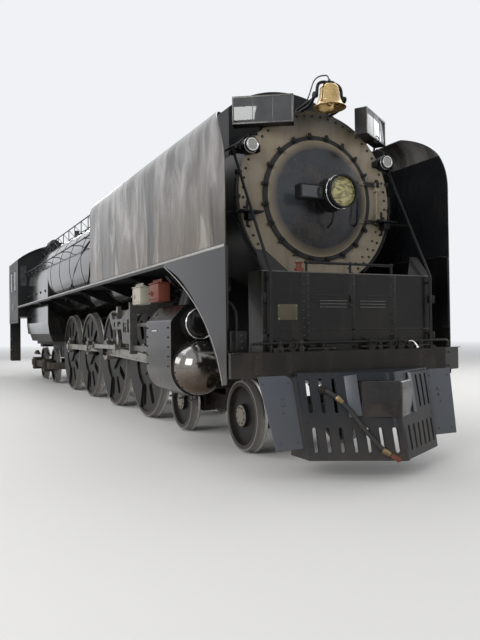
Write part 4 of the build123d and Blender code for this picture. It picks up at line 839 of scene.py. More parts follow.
# Coupler cover: an upright prow on the raked nose with a softened crown
coverSet = {
    "half": 0.34, "low": 0.655, "high": 1.04, "nose": 0.09, "side": 0.215, "tip": 0.06, "ease": 0.026,
}
coverNose = noseTip + coverSet["nose"]
coverSide = coverNose + coverSet["side"]
coverFlank = [(-coverSet["half"], coverSide + 0.2), (-coverSet["half"], coverSide)]
coverFlank += [(-coverSet["tip"], coverNose + coverSet["ease"])]
coverTip = [(-0.03, coverNose + 0.007), (0, coverNose), (0.03, coverNose + 0.007)]
coverPlan = coverFlank + coverTip + [(-x, y) for x, y in reversed(coverFlank)]
coverRise = (0, 0, coverSet["high"] - coverSet["low"])
sketch = Sketch()
sketch.shape = drawnPlate([Vector((x, y, coverSet["low"])) for x, y in coverPlan], coverRise)
edges = sketch.shape.edges
crown = [edge for edge in edges if min(v.co.z for v in edge.verts) > coverSet["high"] - 0.001]
soften(sketch.shape, crown, 0.03, 4)
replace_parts(sketch.finish("couplerPrism", "glossBlack", angle=30), "coupler_cover")

# Step plates: leaning forward beside the pilot, with arched plates beside the coupler cover
stepSet = {
    "corners": [(0.93, 0), (1.345, 0), (1.24, -0.79), (0.918, -0.79)], "lean": math.atan2(0.2, 0.735),
    "wall": 0.014, "archX": 0.405, "archHeights": (0.66, 1.095), "archTwist": 0.62,
}
stepPlace = Matrix.Translation((0, beamFront - 0.004, beamLow.z + 0.02))
stepMatrix = stepPlace @ Matrix.Rotation(-stepSet["lean"], 4, "X")
sketch = Sketch()
for side in (-1, 1):
    part = drawnPlate([Vector((side * x, 0, z)) for x, z in stepSet["corners"]], (0, stepSet["wall"], 0))
    inner = [edge for edge in part.edges if all(abs(v.co.x) < 0.94 and v.co.z > -0.01 for v in edge.verts)]
    soften(part, inner, 0.1, 6)
    move(part, stepMatrix)
    sketch.add(part)
    low, high = (flankPoint(side * stepSet["archX"], z, 0.006) for z in stepSet["archHeights"])
    rake = high - low
    turn = Matrix.Rotation(-math.atan2(rake.y, rake.z), 4, "X")
    turn = turn @ Matrix.Rotation(side * stepSet["archTwist"], 4, "Z")
    sketch.slab((-0.07, -0.008, 0), (0.07, 0.008, rake.length), 0.006, Matrix.Translation(low) @ turn)
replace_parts(sketch.finish("leaningSteps", "stepBlue", angle=30), "step_plates")

# Air hose: from the cock behind the upper slots down the flank to its dummy coupling by the nose
hoseRoute = [Vector((-0.6895, noseTip + 0.7, 0.945))]
for stop in (
    (-0.6895, 0.945, 0.02), (-0.63, 0.913, 0.058), (-0.496, 0.772, 0.056), (-0.367, 0.533, 0.054),
    (-0.222, 0.319, 0.05), (-0.134, 0.262, 0.03),
):
    hoseRoute.append(flankPoint(*stop))
curve = bpy.data.curves.new("airHose", "CURVE")
curve.dimensions = "3D"
curve.bevel_depth = 0.024
curve.bevel_resolution = 5
curve.use_fill_caps = True
spline = curve.splines.new("NURBS")
spline.points.add(len(hoseRoute) - 1)
for point, place in zip(spline.points, hoseRoute):
    point.co = (*place, 1)
spline.order_u = 3
spline.use_endpoint_u = True
spline.resolution_u = 10
curve.materials.append(finish["rubberBlack"])
hose = bpy.data.objects.new("airHose", curve)
collection.objects.link(hose)
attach(hose, "root")
upper = (hoseRoute[3] - hoseRoute[2]).normalized()
lower = (hoseRoute[6] - hoseRoute[5]).normalized()
sleeve = capped((0.03, 0), (0.034, 0.008), (0.034, 0.05), (0.029, 0.06), (0.029, 0.085), (0.026, 0.09))
sketch = Sketch()
sketch.lathe(sleeve, hoseRoute[2].lerp(hoseRoute[3], 0.3), upper, 20)
sketch.lathe(sleeve, hoseRoute[5].lerp(hoseRoute[6], -0.1), lower, 20)
hoseBrass = sketch.finish("hoseBrass", "dullBrass")
sketch = Sketch()
sketch.slab((-0.032, -0.026, 0), (0.032, 0.026, 0.085), 0.012, aim(hoseRoute[6] - lower * 0.02, lower))
nozzle = [(0, 0), (0.03, 0), (0.034, 0.012), (0.02, 0.03), (0, 0.032)]
sketch.lathe(nozzle, hoseRoute[6] + lower * 0.062, lower, 20)
hoseEnd = sketch.finish("hoseEnd", "oxidePaint")
sketch = Sketch()
cock = capped((0.044, 0), (0.044, 0.03), (0.03, 0.036), (0.03, 0.07))
sketch.lathe(cock, hoseRoute[1] + Vector((0, 0.03, 0)), forward, 20)
sketch.pipe([hoseRoute[6] + Vector((0, 0.045, 0)), hoseRoute[6]], 0.014)
sketch.finish("hoseHolder", "satinBlack")
print("camera and hose made")

# Smokebox ring: studs round the rim, small step brackets, and pipework that follows the shoulder
ringSet = {
    "studs": 56, "studRadius": 1.062, "studSize": 0.014, "innerRadius": 0.985,
    "innerTurns": range(-62, -13, 8), "pipeRadius": 1.155,
    "pipes": ((128, 186, 0.021, 0), (-8, 52, 0.021, 0), (18, 60, 0.014, 0.035)),
    "collarTurns": (-4, 14, 31, 48, 132, 150, 168, 183),
}
ringCentre = Vector((0, ringFace, boilerHeight))
sketch = Sketch(ringCentre)
sketch.ring(bolt, (0, 0, 0), forward, ringSet["studRadius"], ringSet["studs"], ringSet["studSize"])
for turn in ringSet["innerTurns"]:
    sketch.press(bolt, aim(polar(ringSet["innerRadius"], math.radians(turn)), forward, 0.012))
sketch.finish("ringStuds", "satinBlack")

sketch = Sketch()
for side in (-1, 1):
    sketch.origin = ringCentre + Vector((side * 1.01, 0, -0.255))
    sketch.slab((-0.15, -0.16, 0), (0.15, 0, 0.022), 0.005)
    sketch.slab((-0.05, -0.13, -0.09), (0.05, -0.01, 0), 0.01)
    sketch.row(bolt, (-0.11, -0.08, 0.022), (0.11, -0.08, 0.022), 3, upward, 0.012)
    sketch.slab((-0.015, -0.012, -0.16), (0.015, 0, 0.16))
sketch.finish("ringSteps", "satinBlack")

collar = capped((0.03, 0), (0.034, 0.012), (0.034, 0.04), (0.03, 0.052))
sketch = Sketch(ringCentre + Vector((0, 0.01, 0)))
for first, last, radius, lift in ringSet["pipes"]:
    route = arcPath((0, 0, 0), rearward, ringSet["pipeRadius"] + lift, first, last)
    sketch.tube([Vector((point.x, point.y, -point.z)) for point in route], radius)
for turn in ringSet["collarTurns"]:
    a = math.radians(turn)
    along = Vector((-math.sin(a), 0, math.cos(a)))
    sketch.lathe(collar, polar(ringSet["pipeRadius"], a) - along * 0.026, along, 12)
    place = aim(polar(ringSet["pipeRadius"], a), polar(1, a))
    sketch.slab((-0.03, -0.012, -0.05), (0.03, 0.03, 0), 0.004, place)
valve = capped((0.04, 0), (0.045, 0.02), (0.03, 0.07), (0.03, 0.1))
sketch.lathe(valve, (0.84, -0.04, 0.83), forward, 16)
sketch.hoop((0.84, -0.15, 0.83), rearward, 0.045, 0.006, 20)
sketch.origin = Vector((0, ringFace, 0))
sketch.pipe([(0.84, 0, 4.08), (0.9, -0.02, 4.22), (1.05, 0.12, 4.26), (1.3, 0.5, 4.16)], 0.016)
sketch.pipe([(-0.86, 0, 3.98), (-0.98, -0.02, 3.98), (-1.08, 0.02, 3.86), (-1.2, 0.4, 3.8)], 0.016)
sketch.finish("shoulderPipes", "satinBlack")

# Smokebox door: nuts on the clamps, a hinge pin with knuckles and a curved grab handle
doorSet = {"clamps": 20, "studRadius": 0.776, "studFace": -0.052, "hingeX": 0.905, "hingeGap": 20}
knuckle = capped((0.03, -0.045), (0.034, -0.035), (0.034, 0.035), (0.03, 0.045))
sketch = Sketch(ringCentre)
for i in range(doorSet["clamps"]):
    turn = 2 * math.pi / doorSet["clamps"] * (i + 0.5)
    if min(turn, 2 * math.pi - turn) > math.radians(doorSet["hingeGap"]):
        spot = polar(doorSet["studRadius"], turn, doorSet["studFace"])
        sketch.press(bolt, aim(spot, forward, 0.024, turn))
hinge = doorSet["hingeX"]
for z in (-0.25, 0.25):
    sketch.lathe(knuckle, (hinge, -0.045, z), upward, 20)
    sketch.row(bolt, (hinge - 0.33, -0.062, z), (hinge - 0.1, -0.062, z), 3, forward, 0.014)
sketch.hoop((hinge, -0.045, 0.31), upward, 0.017, 0.008, 16)
sketch.pipe([(0.5, -0.07, -0.33), (0.5, -0.15, -0.31), (0.52, -0.15, 0.02), (0.52, -0.08, 0.05)], 0.012)
sketch.finish("doorFittings", "satinBlack", "smokebox_door")

# Headlight: bright rim, reflector bowl, domed lens, a hood bead, and a blank framed number box
lampLow, lampHigh = span("headlight")
lampCentre = Vector((0, lampLow.y, (lampLow.z + lampHigh.z) / 2))
lensLow, lensHigh = span("headlight_lens")
boxSet = {"low": (0, -0.105), "high": (0.31, 0.065), "bar": 0.015, "wall": 0.012, "reach": 0.12}
sketch = Sketch(lampCentre)
sketch.hoop((0, 0.008, 0), rearward, 0.193, 0.008, 56)
sketch.hoop((0, 0.075, 0), rearward, 0.205, 0.006, 56)
for turn in (40, 140, 270):
    a = math.radians(turn)
    sketch.slab((-0.014, -0.03, 0), (0.014, 0.03, 0.014), 0.004, aim(polar(0.203, a, 0.035), polar(1, a)))
sketch.finish("headlightRim", "chrome", "smokebox_door")
sketch = Sketch((0, lensHigh.y, lampCentre.z))
bowl = [(0, -0.045), (0.05, -0.043), (0.1, -0.031), (0.145, -0.011), (0.182, 0)]
sketch.lathe(bowl, (0, 0, 0), forward, 48)
sketch.finish("headlightBowl", "bellBrass", "smokebox_door")
sketch = Sketch((0, lensLow.y + 0.012, lampCentre.z))
sketch.lathe([(0, 0.012), (0.06, 0.01), (0.12, 0.003), (0.182, -0.012)], (0, 0, 0), forward, 48)
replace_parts(sketch.finish("headlightLens", "lensGlass", "smokebox_door"), "headlight_lens")
boxCorner = Vector((lampLow.x, lampLow.y + boxSet["reach"], boilerHeight))
sketch = Sketch(boxCorner)
for low, high in borderBars(boxSet["low"], boxSet["high"], boxSet["bar"]):
    sketch.slab((low[0], -boxSet["wall"], low[1]), (high[0], 0, high[1]), 0.003)
sketch.row(rivet, (0.02, -0.012, 0.058), (0.29, -0.012, 0.058), 5, forward, 0.005)
sketch.origin = Vector((0, lampLow.y, lampLow.z))
sketch.pipe([(0.02, 0.25, 0), (0.02, 0.28, -0.12), (0.04, ringFace - lampLow.y - 0.16, -0.17)], 0.011)
sketch.origin = lampCentre
sketch.hoop((0, 0.29, 0), rearward, 0.205, 0.008)
sketch.finish("headlightFrame", "satinBlack", "smokebox_door")
sketch = Sketch(boxCorner)
sketch.slab((0.012, -0.006, -0.094), (0.298, 0, 0.054), 0.002)
sketch.finish("headlightPane", "boardPane", "smokebox_door")
print("smokebox front made")

# Bell: turned from a smooth profile, hung from a curved yoke between two bearing posts, with its air pipe
bellLow, bellHigh = span("bell")
bellCentre = Vector((0, (bellLow.y + bellHigh.y) / 2, bellLow.z))
yokeLow = span("bell_yoke")[0]
bellSet = {
    "outside": [
        (0.207, 0), (0.2, 0.008), (0.177, 0.028), (0.153, 0.066), (0.136, 0.112), (0.126, 0.165),
        (0.12, 0.215), (0.112, 0.25), (0.094, 0.276), (0.067, 0.292), (0, 0.3),
    ],
    "inside": [
        (0, 0.285), (0.06, 0.277), (0.085, 0.262), (0.1, 0.24), (0.107, 0.21), (0.114, 0.16),
        (0.124, 0.11), (0.141, 0.062), (0.166, 0.022), (0.19, 0.001), (0.2, -0.002), (0.207, 0),
    ],
    "yokeArm": ((0, 0.314), (0.1, 0.312), (0.175, 0.27), (0.185, 0.13)), "postX": 0.215,
}
sketch = Sketch(bellCentre)
sketch.lathe(bellSet["outside"] + bellSet["inside"], (0, 0, 0), upward, 56)
for z, radius in ((0.07, 0.151), (0.235, 0.117)):
    sketch.hoop((0, 0, z), upward, radius, 0.003)
sketch.ball((0, 0, 0.055), 0.034, 20, 12)
sketch.pipe([(0, 0, 0.06), (0, 0, 0.285)], 0.01)
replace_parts(sketch.finish("bellSmooth", "bellBrass"), "bell")
cap = capped((0.075, 0), (0.07, 0.016), (0.04, 0.024), (0.034, 0.034))
trunnion = capped((0.03, 0), (0.03, 0.02), (0.042, 0.026), (0.042, 0.05), (0.028, 0.056))
footY = smokeboxFront - bellCentre.y
footZ = yokeLow.z - bellCentre.z
sketch = Sketch(bellCentre)
sketch.lathe(cap, (0, 0, 0.296), upward, 24)
for side in (-1, 1):
    sketch.pipe([(side * x, 0, z) for x, z in bellSet["yokeArm"]], 0.02, 0.07, 3)
    sketch.lathe(trunnion, (side * 0.18, 0, 0.13), (side, 0, 0), 20)
    x = side * bellSet["postX"]
    sketch.pipe([(x, 0, 0.13), (x, 0.1, 0.03), (x, footY + 0.16, footZ + 0.03)], 0.021, 0.08, 3)
    sketch.pipe([(x, 0.04, 0.1), (x, footY + 0.4, footZ + 0.06)], 0.014, 0.04)
    sketch.slab((x - 0.025, footY + 0.06, footZ - 0.05), (x + 0.025, footY + 0.42, footZ + 0.06), 0.006)
    sketch.row(bolt, (x, footY + 0.11, footZ + 0.06), (x, footY + 0.38, footZ + 0.06), 4, upward, 0.012)
x = bellSet["postX"]
sketch.slab((-x, footY + 0.1, footZ - 0.05), (x, footY + 0.38, footZ + 0.03), 0.008)
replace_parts(sketch.finish("bellCradle", "satinBlack"), "bell_yoke")
sketch = Sketch((0, bellCentre.y, 0))
airRoute = [(-0.12, footY + 0.2, 4.36), (-0.23, 0.12, 4.46), (-0.15, 0.1, 4.72)]
sketch.pipe(airRoute + [(0, 0.03, 4.76), (0, 0, 4.655)], 0.009, 0.1)
nipple = [(0, 0), (0.016, 0), (0.018, 0.02), (0.011, 0.034), (0, 0.04)]
sketch.lathe(nipple, (0, 0, bellCentre.z + 0.33), upward, 14)
sketch.finish("bellAirPipe", "frameSteel")

# Number boards: framed blank panes on both faces; the class lamps have clear lenses in bright rims
boardSet = {
    "centre": (0.806, smokeboxFront - 0.095, 4.25), "half": (0.37, 0.17), "depth": 0.075, "lip": 0.008,
    "across": (0.836, 0.548, 0), "bar": 0.022, "dividers": (-0.123, 0.123),
}
across = Vector(boardSet["across"]).normalized()
facing = Vector((across.y, -across.x, 0))
boardTurn = Matrix((across, facing, upward)).transposed().to_4x4()
boardMatrix = Matrix.Translation(boardSet["centre"]) @ boardTurn
wide, tall = boardSet["half"]
frames = Sketch()
panes = Sketch()
for face in (-1, 1):
    near, far = sorted((face * boardSet["depth"], face * (boardSet["depth"] + boardSet["lip"])))
    for low, high in borderBars((-wide, -tall), (wide, tall), boardSet["bar"]):
        frames.slab((low[0], near, low[1]), (high[0], far, high[1]), 0.002, boardMatrix)
    low = (0.02 - wide, near + 0.002, 0.02 - tall)
    panes.slab(low, (wide - 0.02, far - 0.003, tall - 0.02), 0.001, boardMatrix)
    for x in boardSet["dividers"]:
        frames.slab((x - 0.004, near, 0.02 - tall), (x + 0.004, far, tall - 0.02), 0.001, boardMatrix)
for x in (-0.3, 0, 0.3):
    frames.press(bolt, boardMatrix @ aim((x, 0, tall), upward, 0.01))
frames.finish("boardFrames", "frameSteel", twin=True)
panes.finish("boardPanes", "boardPane", twin=True)
classLamp = Vector((1.007, span("class_lamps")[0].y, 3.8))
sketch = Sketch(classLamp)
sketch.hoop((0, 0, 0), rearward, 0.07, 0.011, 32)
sketch.hoop((0, 0.03, 0), rearward, 0.091, 0.005, 32)
sketch.finish("classRims", "chrome", twin=True)
sketch = Sketch(classLamp)
sketch.lathe([(0, 0.012), (0.03, 0.01), (0.055, 0.004), (0.068, -0.002)], (0, 0.002, 0), forward, 32)
sketch.finish("classLenses", "clearLens", twin=True)
sketch = Sketch(classLamp)
for x in (-0.13, 0.13):
    sketch.slab((x - 0.012, 0.06, -0.06), (x + 0.012, 0.2, 0.02))
sketch.pipe([(0, 0.08, 0.085), (0.02, 0.08, 0.15), (-0.06, 0.16, 0.2)], 0.01)
sketch.hoop((0, 0.12, 0), rearward, 0.093, 0.006, 32)
sketch.finish("classBrackets", "satinBlack", twin=True)
print("bell, boards and lamps made")

# Shield: battens with two rows of bolts, a middle seam with its latch, louvre lips and a blank tan plate
shieldSet = {
    "battens": (-0.645, 0.593), "low": beamTop + 0.02, "high": 2.23, "louvres": (-0.28, 0.28),
    "louvreHalf": 0.185, "louvreLow": beamTop + 0.494, "louvrePitch": 0.036, "top": 2.245,
    "plate": ((-1.012, 1.699), (-0.758, 1.876)),
}
low, high = shieldSet["low"], shieldSet["high"]
sketch = Sketch((0, shieldFace, 0))
for x in shieldSet["battens"]:
    sketch.slab((x - 0.045, -0.005, low), (x + 0.045, 0, high), 0.002)
    for shift, rise in ((-0.026, 0.06), (0.026, 0.112)):
        start = (x + shift, -0.005, low + rise)
        sketch.row(bolt, start, (x + shift, -0.005, high - 0.03), 9, forward, 0.0095)
sketch.slab((-0.028, -0.004, low), (0.028, 0, high), 0.002)
sketch.row(rivet, (0.014, -0.004, low + 0.05), (0.014, -0.004, high - 0.05), 12, forward, 0.008)
sketch.slab((-1.19, -0.004, beamTop + 0.235), (1.19, 0, beamTop + 0.25), 0.002)
sketch.row(rivet, (-1.15, -0.001, beamTop + 0.215), (1.15, -0.001, beamTop + 0.215), 34, forward, 0.007)
for x in (-1.17, 1.17):
    sketch.row(rivet, (x, 0, beamTop + 0.3), (x, 0, 2.2), 12, forward, 0.008)
sketch.slab((-0.04, -0.022, 1.9), (-0.015, -0.004, 1.99), 0.005)
sketch.slab((-0.05, -0.014, 1.84), (-0.005, -0.002, 1.88))
for z in (1.5, 1.95):
    for x in (-1.19, 1.19):
        sketch.slab((x - 0.02, -0.05, z - 0.05), (x + 0.02, 0, z + 0.05), 0.008)
sketch.finish("shieldTrim", "shieldBlack")
# Louvre lips in lighter steel as painted highlights along the louvres, and a polished strip along the
# shield's top edge
sketch = Sketch((0, shieldFace, 0))
half = shieldSet["louvreHalf"]
for x in shieldSet["louvres"]:
    for i in range(3):
        z = shieldSet["louvreLow"] + i * shieldSet["louvrePitch"]
        sketch.slab((x - half, -0.016, z + 0.004), (x + half, -0.011, z + 0.013), 0.001)
sketch.slab((-1.2, -0.006, 2.235), (1.2, 0, 2.247), 0.002)
sketch.finish("shieldEdges", "frameSteel")
(left, low), (right, high) = shieldSet["plate"]
sketch = Sketch((0, shieldFace, 0))
sketch.slab((left, -0.008, low), (right, 0, high), 0.003)
sketch.finish("blankPlate", "plateTan")
sketch = Sketch((0, shieldFace - 0.008, 0))
for x in (left + 0.015, right - 0.015):
    sketch.row(rivet, (x, 0, low + 0.015), (x, 0, high - 0.015), 2, forward, 0.006)
sketch.finish("plateScrews", "chrome")

# Deck pipes and cocks between the beam rail and the shield
deckSet = {
    "line": 0.075, "wheelFrom": 0.042,
    "pipes": ((-1.12, -0.7, 0.035), (0.1, 1.1, 0.04), (-0.66, -0.3, 0.028)),
    "cocks": (
        (-1.02, 0.13, 0.04), (-0.88, 0.1, 0.045), (-0.76, 0.14, 0.035), (-0.42, 0.08, 0.028),
        (0.2, 0.14, 0.05), (0.33, 0.1, 0.035), (0.5, 0.11, 0.045), (0.63, 0.14, 0.05), (0.78, 0.09, 0.04),
        (0.95, 0.1, 0.035),
    ),
    "shape": ((1, 0), (1, 0.35), (0.6, 0.5), (0.8, 0.6), (0.8, 0.85), (0.3, 1)),
}
deckLine = Vector((0, shieldFace - deckSet["line"], beamTop))
back = deckSet["line"] - 0.01
sketch = Sketch(deckLine)
for x0, x1, z in deckSet["pipes"]:
    sketch.pipe([(x0, back, z), (x0, 0, z), (x1, 0, z), (x1, back, z)], 0.017)
for x, tall, size in deckSet["cocks"]:
    sketch.lathe(capped(*((size * r, tall * z) for r, z in deckSet["shape"])), (x, 0, 0), upward, 16)
    collar = capped((size * 0.8, 0), (size * 0.8, 0.03))
    sketch.lathe(collar, (x - size * 1.1, 0, tall * 0.3), outward, 12)
    if size > deckSet["wheelFrom"]:
        sketch.hoop((x, -size, tall * 0.75), rearward, size * 0.9, 0.006, 20)
        sketch.pipe([(x, 0, tall * 0.75), (x, -size, tall * 0.75)], 0.01)
sketch.finish("deckCocks", "satinBlack")
sketch = Sketch(deckLine)
sketch.pipe([(0.76, 0, 0.09), (0.79, -0.05, 0.1), (0.83, -0.08, 0.02)], 0.011)
sketch.ball((0.83, -0.08, 0.02), 0.019, 12, 8)
sketch.finish("deckHandle", "chrome")

# Beam: bolts on its end pads, welded seams, and the left drain pipe with its elbow
sketch = Sketch((0, beamFace, beamTop))
for x in (-0.46, 0.46):
    sketch.slab((x - 0.006, -0.003, -0.255), (x + 0.006, 0, -0.01), 0.001)
for x in (-1.35, -0.95, 0.95, 1.35):
    sketch.row(bolt, (x, 0, -0.05), (x, 0, -0.22), 2, forward, 0.013)
sketch.slab((-1.6, 0.05, 0), (1.6, 0.08, 0.008), 0.002)
sketch.finish("beamTrim", "shieldBlack")
sketch = Sketch((0, deflectorLow.y, 0))
drain = [(-1.56, 0.09, 1.91), (-1.5, 0.05, 1.88), (-1.445, 0.05, 1.78), (-1.445, 0.05, 1.6)]
sketch.pipe(drain + [(-1.445, 0.08, beamTop)], 0.014)
sketch.slab((-1.5, -0.04, beamTop), (-1.36, 0.13, beamTop + 0.24), 0.015)
sketch.row(bolt, (-1.43, -0.04, beamTop + 0.05), (-1.43, -0.04, beamTop + 0.19), 3, forward, 0.011)
sketch.origin = Vector((0, beamFace, beamTop))
for x in (-1.1, 1.1):
    sketch.lathe(capped((0.035, 0), (0.035, 0.04)), (x, 0.02, 0), upward, 14)
sketch.finish("beamPipes", "satinBlack")
sketch = Sketch((-0.7, shieldLow.y, 2.247))
sketch.lathe(capped((0.05, 0), (0.056, 0.03), (0.03, 0.05), (0.03, 0.09)), (0, 0.06, 0), upward, 16)
sketch.hoop((0, 0.05, 0.103), upward, 0.045, 0.007, 20)
sketch.finish("redValve", "oxidePaint")
print("shield and beam made")

# Pilot: bolts along its top flange, rivets on its flanks and the coupler cover, bolts on the step plates
sketch = Sketch()
for side in (-1, 1):
    for i in range(6):
        sketch.press(bolt, aim(flankPoint(side * (0.42 + i * 0.08), 1.1, 0), (0, -1, 0.2), 0.009))
for x in (-0.86, 0.86):
    for z in (0.35, 0.6, 0.85):
        sketch.press(rivet, aim(flankPoint(x, z, 0), forward, 0.011))
sketch.finish("pilotBolts", "pilotGrey")
sketch = Sketch((0, coverNose + coverSet["ease"], 0))
sideFall = coverSet["side"] - coverSet["ease"]
flankWide = coverSet["half"] - coverSet["tip"]
for side in (-1, 1):
    facing = Vector((side * sideFall, -flankWide, 0)).normalized()
    for share in (0.15, 0.88):
        for z in (coverSet["low"] + 0.04, coverSet["high"] - 0.09):
            spot = (side * (coverSet["tip"] + share * flankWide), share * sideFall, z)
            sketch.press(rivet, aim(spot, facing, 0.008))
sketch.finish("coverRivets", "satinBlack")
sketch = Sketch()
for side in (-1, 1):
    for x, z in ((0.99, -0.08), (1.29, -0.08), (0.98, -0.72), (1.19, -0.72), (1.1, -0.4)):
        sketch.press(bolt, stepMatrix @ aim((side * x, 0.001, z), forward, 0.01))
    for z in (-0.33, -0.26):
        low = (side * 1.09 - 0.014, -0.012, z)
        sketch.slab(low, (side * 1.09 + 0.014, 0.001, z + 0.03), 0.003, stepMatrix)
sketch.finish("stepBolts", "stepBlue")
print("pilot made")

# Handrails on the beam, the shield and both sides of the boiler
railSet = {
    "radius": 0.016, "beamHalf": 1.395, "beamRise": 0.098, "shieldHalf": 0.606, "shieldRise": 0.112,
    "sideX": 1.365, "sideRise": 0.4, "posts": 9, "postFeet": (1.09, 1.24),
}
half = railSet["beamHalf"]
rise = railSet["beamRise"]
sketch = Sketch((0, beamFront + 0.07, beamTop))
sketch.pipe([(-half, 0, 0), (-half, 0, rise), (half, 0, rise), (half, 0, 0)], railSet["radius"], 0.05, 3)
for x in (-0.46, 0.46):
    sketch.pipe([(x, 0, 0), (x, 0, rise)], 0.013)
    sketch.lathe(capped((0.034, 0), (0.034, 0.012), (0.018, 0.02)), (x, 0, 0), upward, 16)
half = railSet["shieldHalf"]
rise = railSet["shieldRise"]
sketch.origin = Vector((0, shieldFace + 0.04, shieldSet["top"]))
sketch.pipe([(-half, 0, rise), (half, 0, rise)], railSet["radius"], sides=3)
for x in (-half, 0, half):
    sketch.pipe([(x, 0, -0.02), (x, 0, rise + 0.014)], 0.015)
    sketch.ball((x, 0, rise), 0.026, 16, 8)
sketch.origin = Vector((0, deflectorLow.y, 0))
for x in (0.022 - sideFace, sideFace - 0.022):
    high = boardTop - 0.02
    sketch.pipe([(x, 0.09, 1.6), (x, 0, 1.6), (x, 0, high), (x, 0.09, high)], 0.013, 0.04)
sketch.finish("frontRails", "satinBlack")
start, end = deflectorHigh.y, cabLow.y
x = railSet["sideX"]
sketch = Sketch((0, 0, boilerHeight + railSet["sideRise"]))
sketch.pipe([(x, start + 0.06, 0), (x, end, 0)], railSet["radius"], sides=3)
for i in range(railSet["posts"]):
    y = start + 0.2 + i * (end - start - 0.4) / (railSet["posts"] - 1)
    sketch.pipe([(railSet["postFeet"][y >= fireboxLow.y], y, 0), (x, y, 0)], 0.011)
    sketch.ball((x, y, 0), 0.025, 14, 8)
sketch.finish("sideRails", "satinBlack", twin=True)

# Mechanical lubricators under the boards: a tank with feet, lid and feed caps
oilerSet = {
    "x": 1.4, "half": (0.095, 0.205), "low": 2.02, "high": boardLow.z + 0.09, "lip": 0.008, "caps": 6,
    "oilers": ((0.92, "frontOiler", "oxidePaint"), (1.79, "rearOiler", "creamPaint")),
}
feedCap = capped((0.018, 0), (0.018, 0.03), (0.012, 0.04), (0.012, 0.05))
crank = capped((0.04, 0), (0.04, 0.02), (0.012, 0.024), (0.012, 0.05))
wide, long = oilerSet["half"]
low, high, lip = (oilerSet[key] for key in ("low", "high", "lip"))
for reachY, name, look in oilerSet["oilers"]:
    sketch = Sketch((oilerSet["x"], skirtRear - 0.15 + reachY, 0))
    sketch.slab((-wide, -long, low), (wide, long, high), 0.02)
    sketch.slab((-wide - lip, -long - lip, high), (wide + lip, long + lip, high + 0.016), 0.005)
    for i in range(oilerSet["caps"]):
        sketch.lathe(feedCap, (0.03, -0.165 + i * 0.066, high + 0.016), upward, 12)
    sketch.row(bolt, (wide, -0.16, low + 0.04), (wide, 0.16, low + 0.04), 4, outward, 0.01)
    for y in (-0.15, 0.15):
        sketch.slab((-wide, y - 0.022, high), (0.014 - wide, y + 0.022, boardTop - 0.25), 0.002)
    sketch.lathe(crank, (wide, 0.08, 2.15), outward, 18)
    sketch.finish(name, look, twin=True)

# Brake gear: a curved shoe on its hanger behind each driver
brakeSet = {
    "x": (0.715, 0.804), "gap": 0.012, "depth": 0.05, "tread": 1.016, "first": 5, "sweep": 30,
    "hanger": 1.092,
}
inner, outer = brakeSet["x"]
near = brakeSet["tread"] + brakeSet["gap"]
far = near + brakeSet["depth"]
sketch = Sketch()
for wheel in driverCentres:
    part = bmesh.new()
    corners = ((inner, near, 0), (outer, near, 0), (outer, far, 0), (inner, far, 0))
    face = part.faces.new([part.verts.new(corner) for corner in corners])
    turn = Matrix.Rotation(math.radians(-brakeSet["first"]), 3, "X")
    bmesh.ops.rotate(part, verts=part.verts, matrix=turn)
    bmesh.ops.spin(
        part, geom=[face, *face.edges, *face.verts], cent=(0, 0, 0), axis=(-1, 0, 0), dvec=(0, 0, 0),
        angle=math.radians(brakeSet["sweep"]), steps=8, use_merge=False,
    )
    bmesh.ops.holes_fill(part, edges=part.edges)
    move(part, Matrix.Translation((0, wheel.y, wheel.z)))
    sketch.add(part)
    sketch.origin = Vector((0, wheel.y + brakeSet["hanger"], 0))
    sketch.slab((0.745, -0.012, 0.68), (0.775, 0.03, 1.32), 0.008)
    sketch.slab((0.6, -0.035, 1.27), (0.804, 0.04, 1.33), 0.008)
    sketch.hoop((0.76, 0.008, 1.28), outward, 0.03, 0.012, 20)
    sketch.slab((0, -0.02, 0.655), (0.79, 0.025, 0.715), 0.008)
sketch.finish("brakeShoes", "truckBlack", twin=True)
print("rails, oilers and brakes made")

# Deflectors and boards: rivets along the seams, and a pale line along the board and the skirt's curve
seamSet = {
    "seams": (0.27, 0.52, 0.76), "top": 3.86, "size": 0.0065, "edgeSize": 0.0075,
    "curve": ((0.11, 0.99), (0.69, 1.77)), "curveTop": 2.46, "lineRadius": 0.006,
}
start, end = deflectorLow.y, deflectorHigh.y
sketch = Sketch((sideFace, 0, boardTop))
sketch.row(rivet, (0, start + 0.06, 0.013), (0, skirtRear, 0.013), 52, outward, seamSet["edgeSize"])
sketch.row(rivet, (0, skirtRear + 0.06, 0.013), (0, end - 0.1, 0.013), 84, outward, seamSet["edgeSize"])
for seam in seamSet["seams"]:
    y = start + (end - start) * seam
    sketch.row(rivet, (0, y, 0.04), (0, y, seamSet["top"] - boardTop), 34, outward, seamSet["size"])
sketch.finish("seamRivets", "frameSteel", twin=True)
sketch = Sketch((sideFace, start, 0))
sketch.slab((-0.003, 0.02, boardTop - 0.03), (0.006, boardHigh.y - start, boardTop), 0.003)
points = [Vector((-0.001, *point)) for point in seamSet["curve"]]
points.append(Vector((-0.001, skirtRear - start, seamSet["curveTop"])))
curve = []
for i in range(17):
    a = i / 16
    weights = (2 * (a - 0.5) * (a - 1), 4 * a * (1 - a), 2 * a * (a - 0.5))
    curve.append(sum((point * weight for point, weight in zip(points, weights)), Vector()))
sketch.tube(curve, seamSet["lineRadius"])
sketch.finish("boardLine", "edgeLine", twin=True)

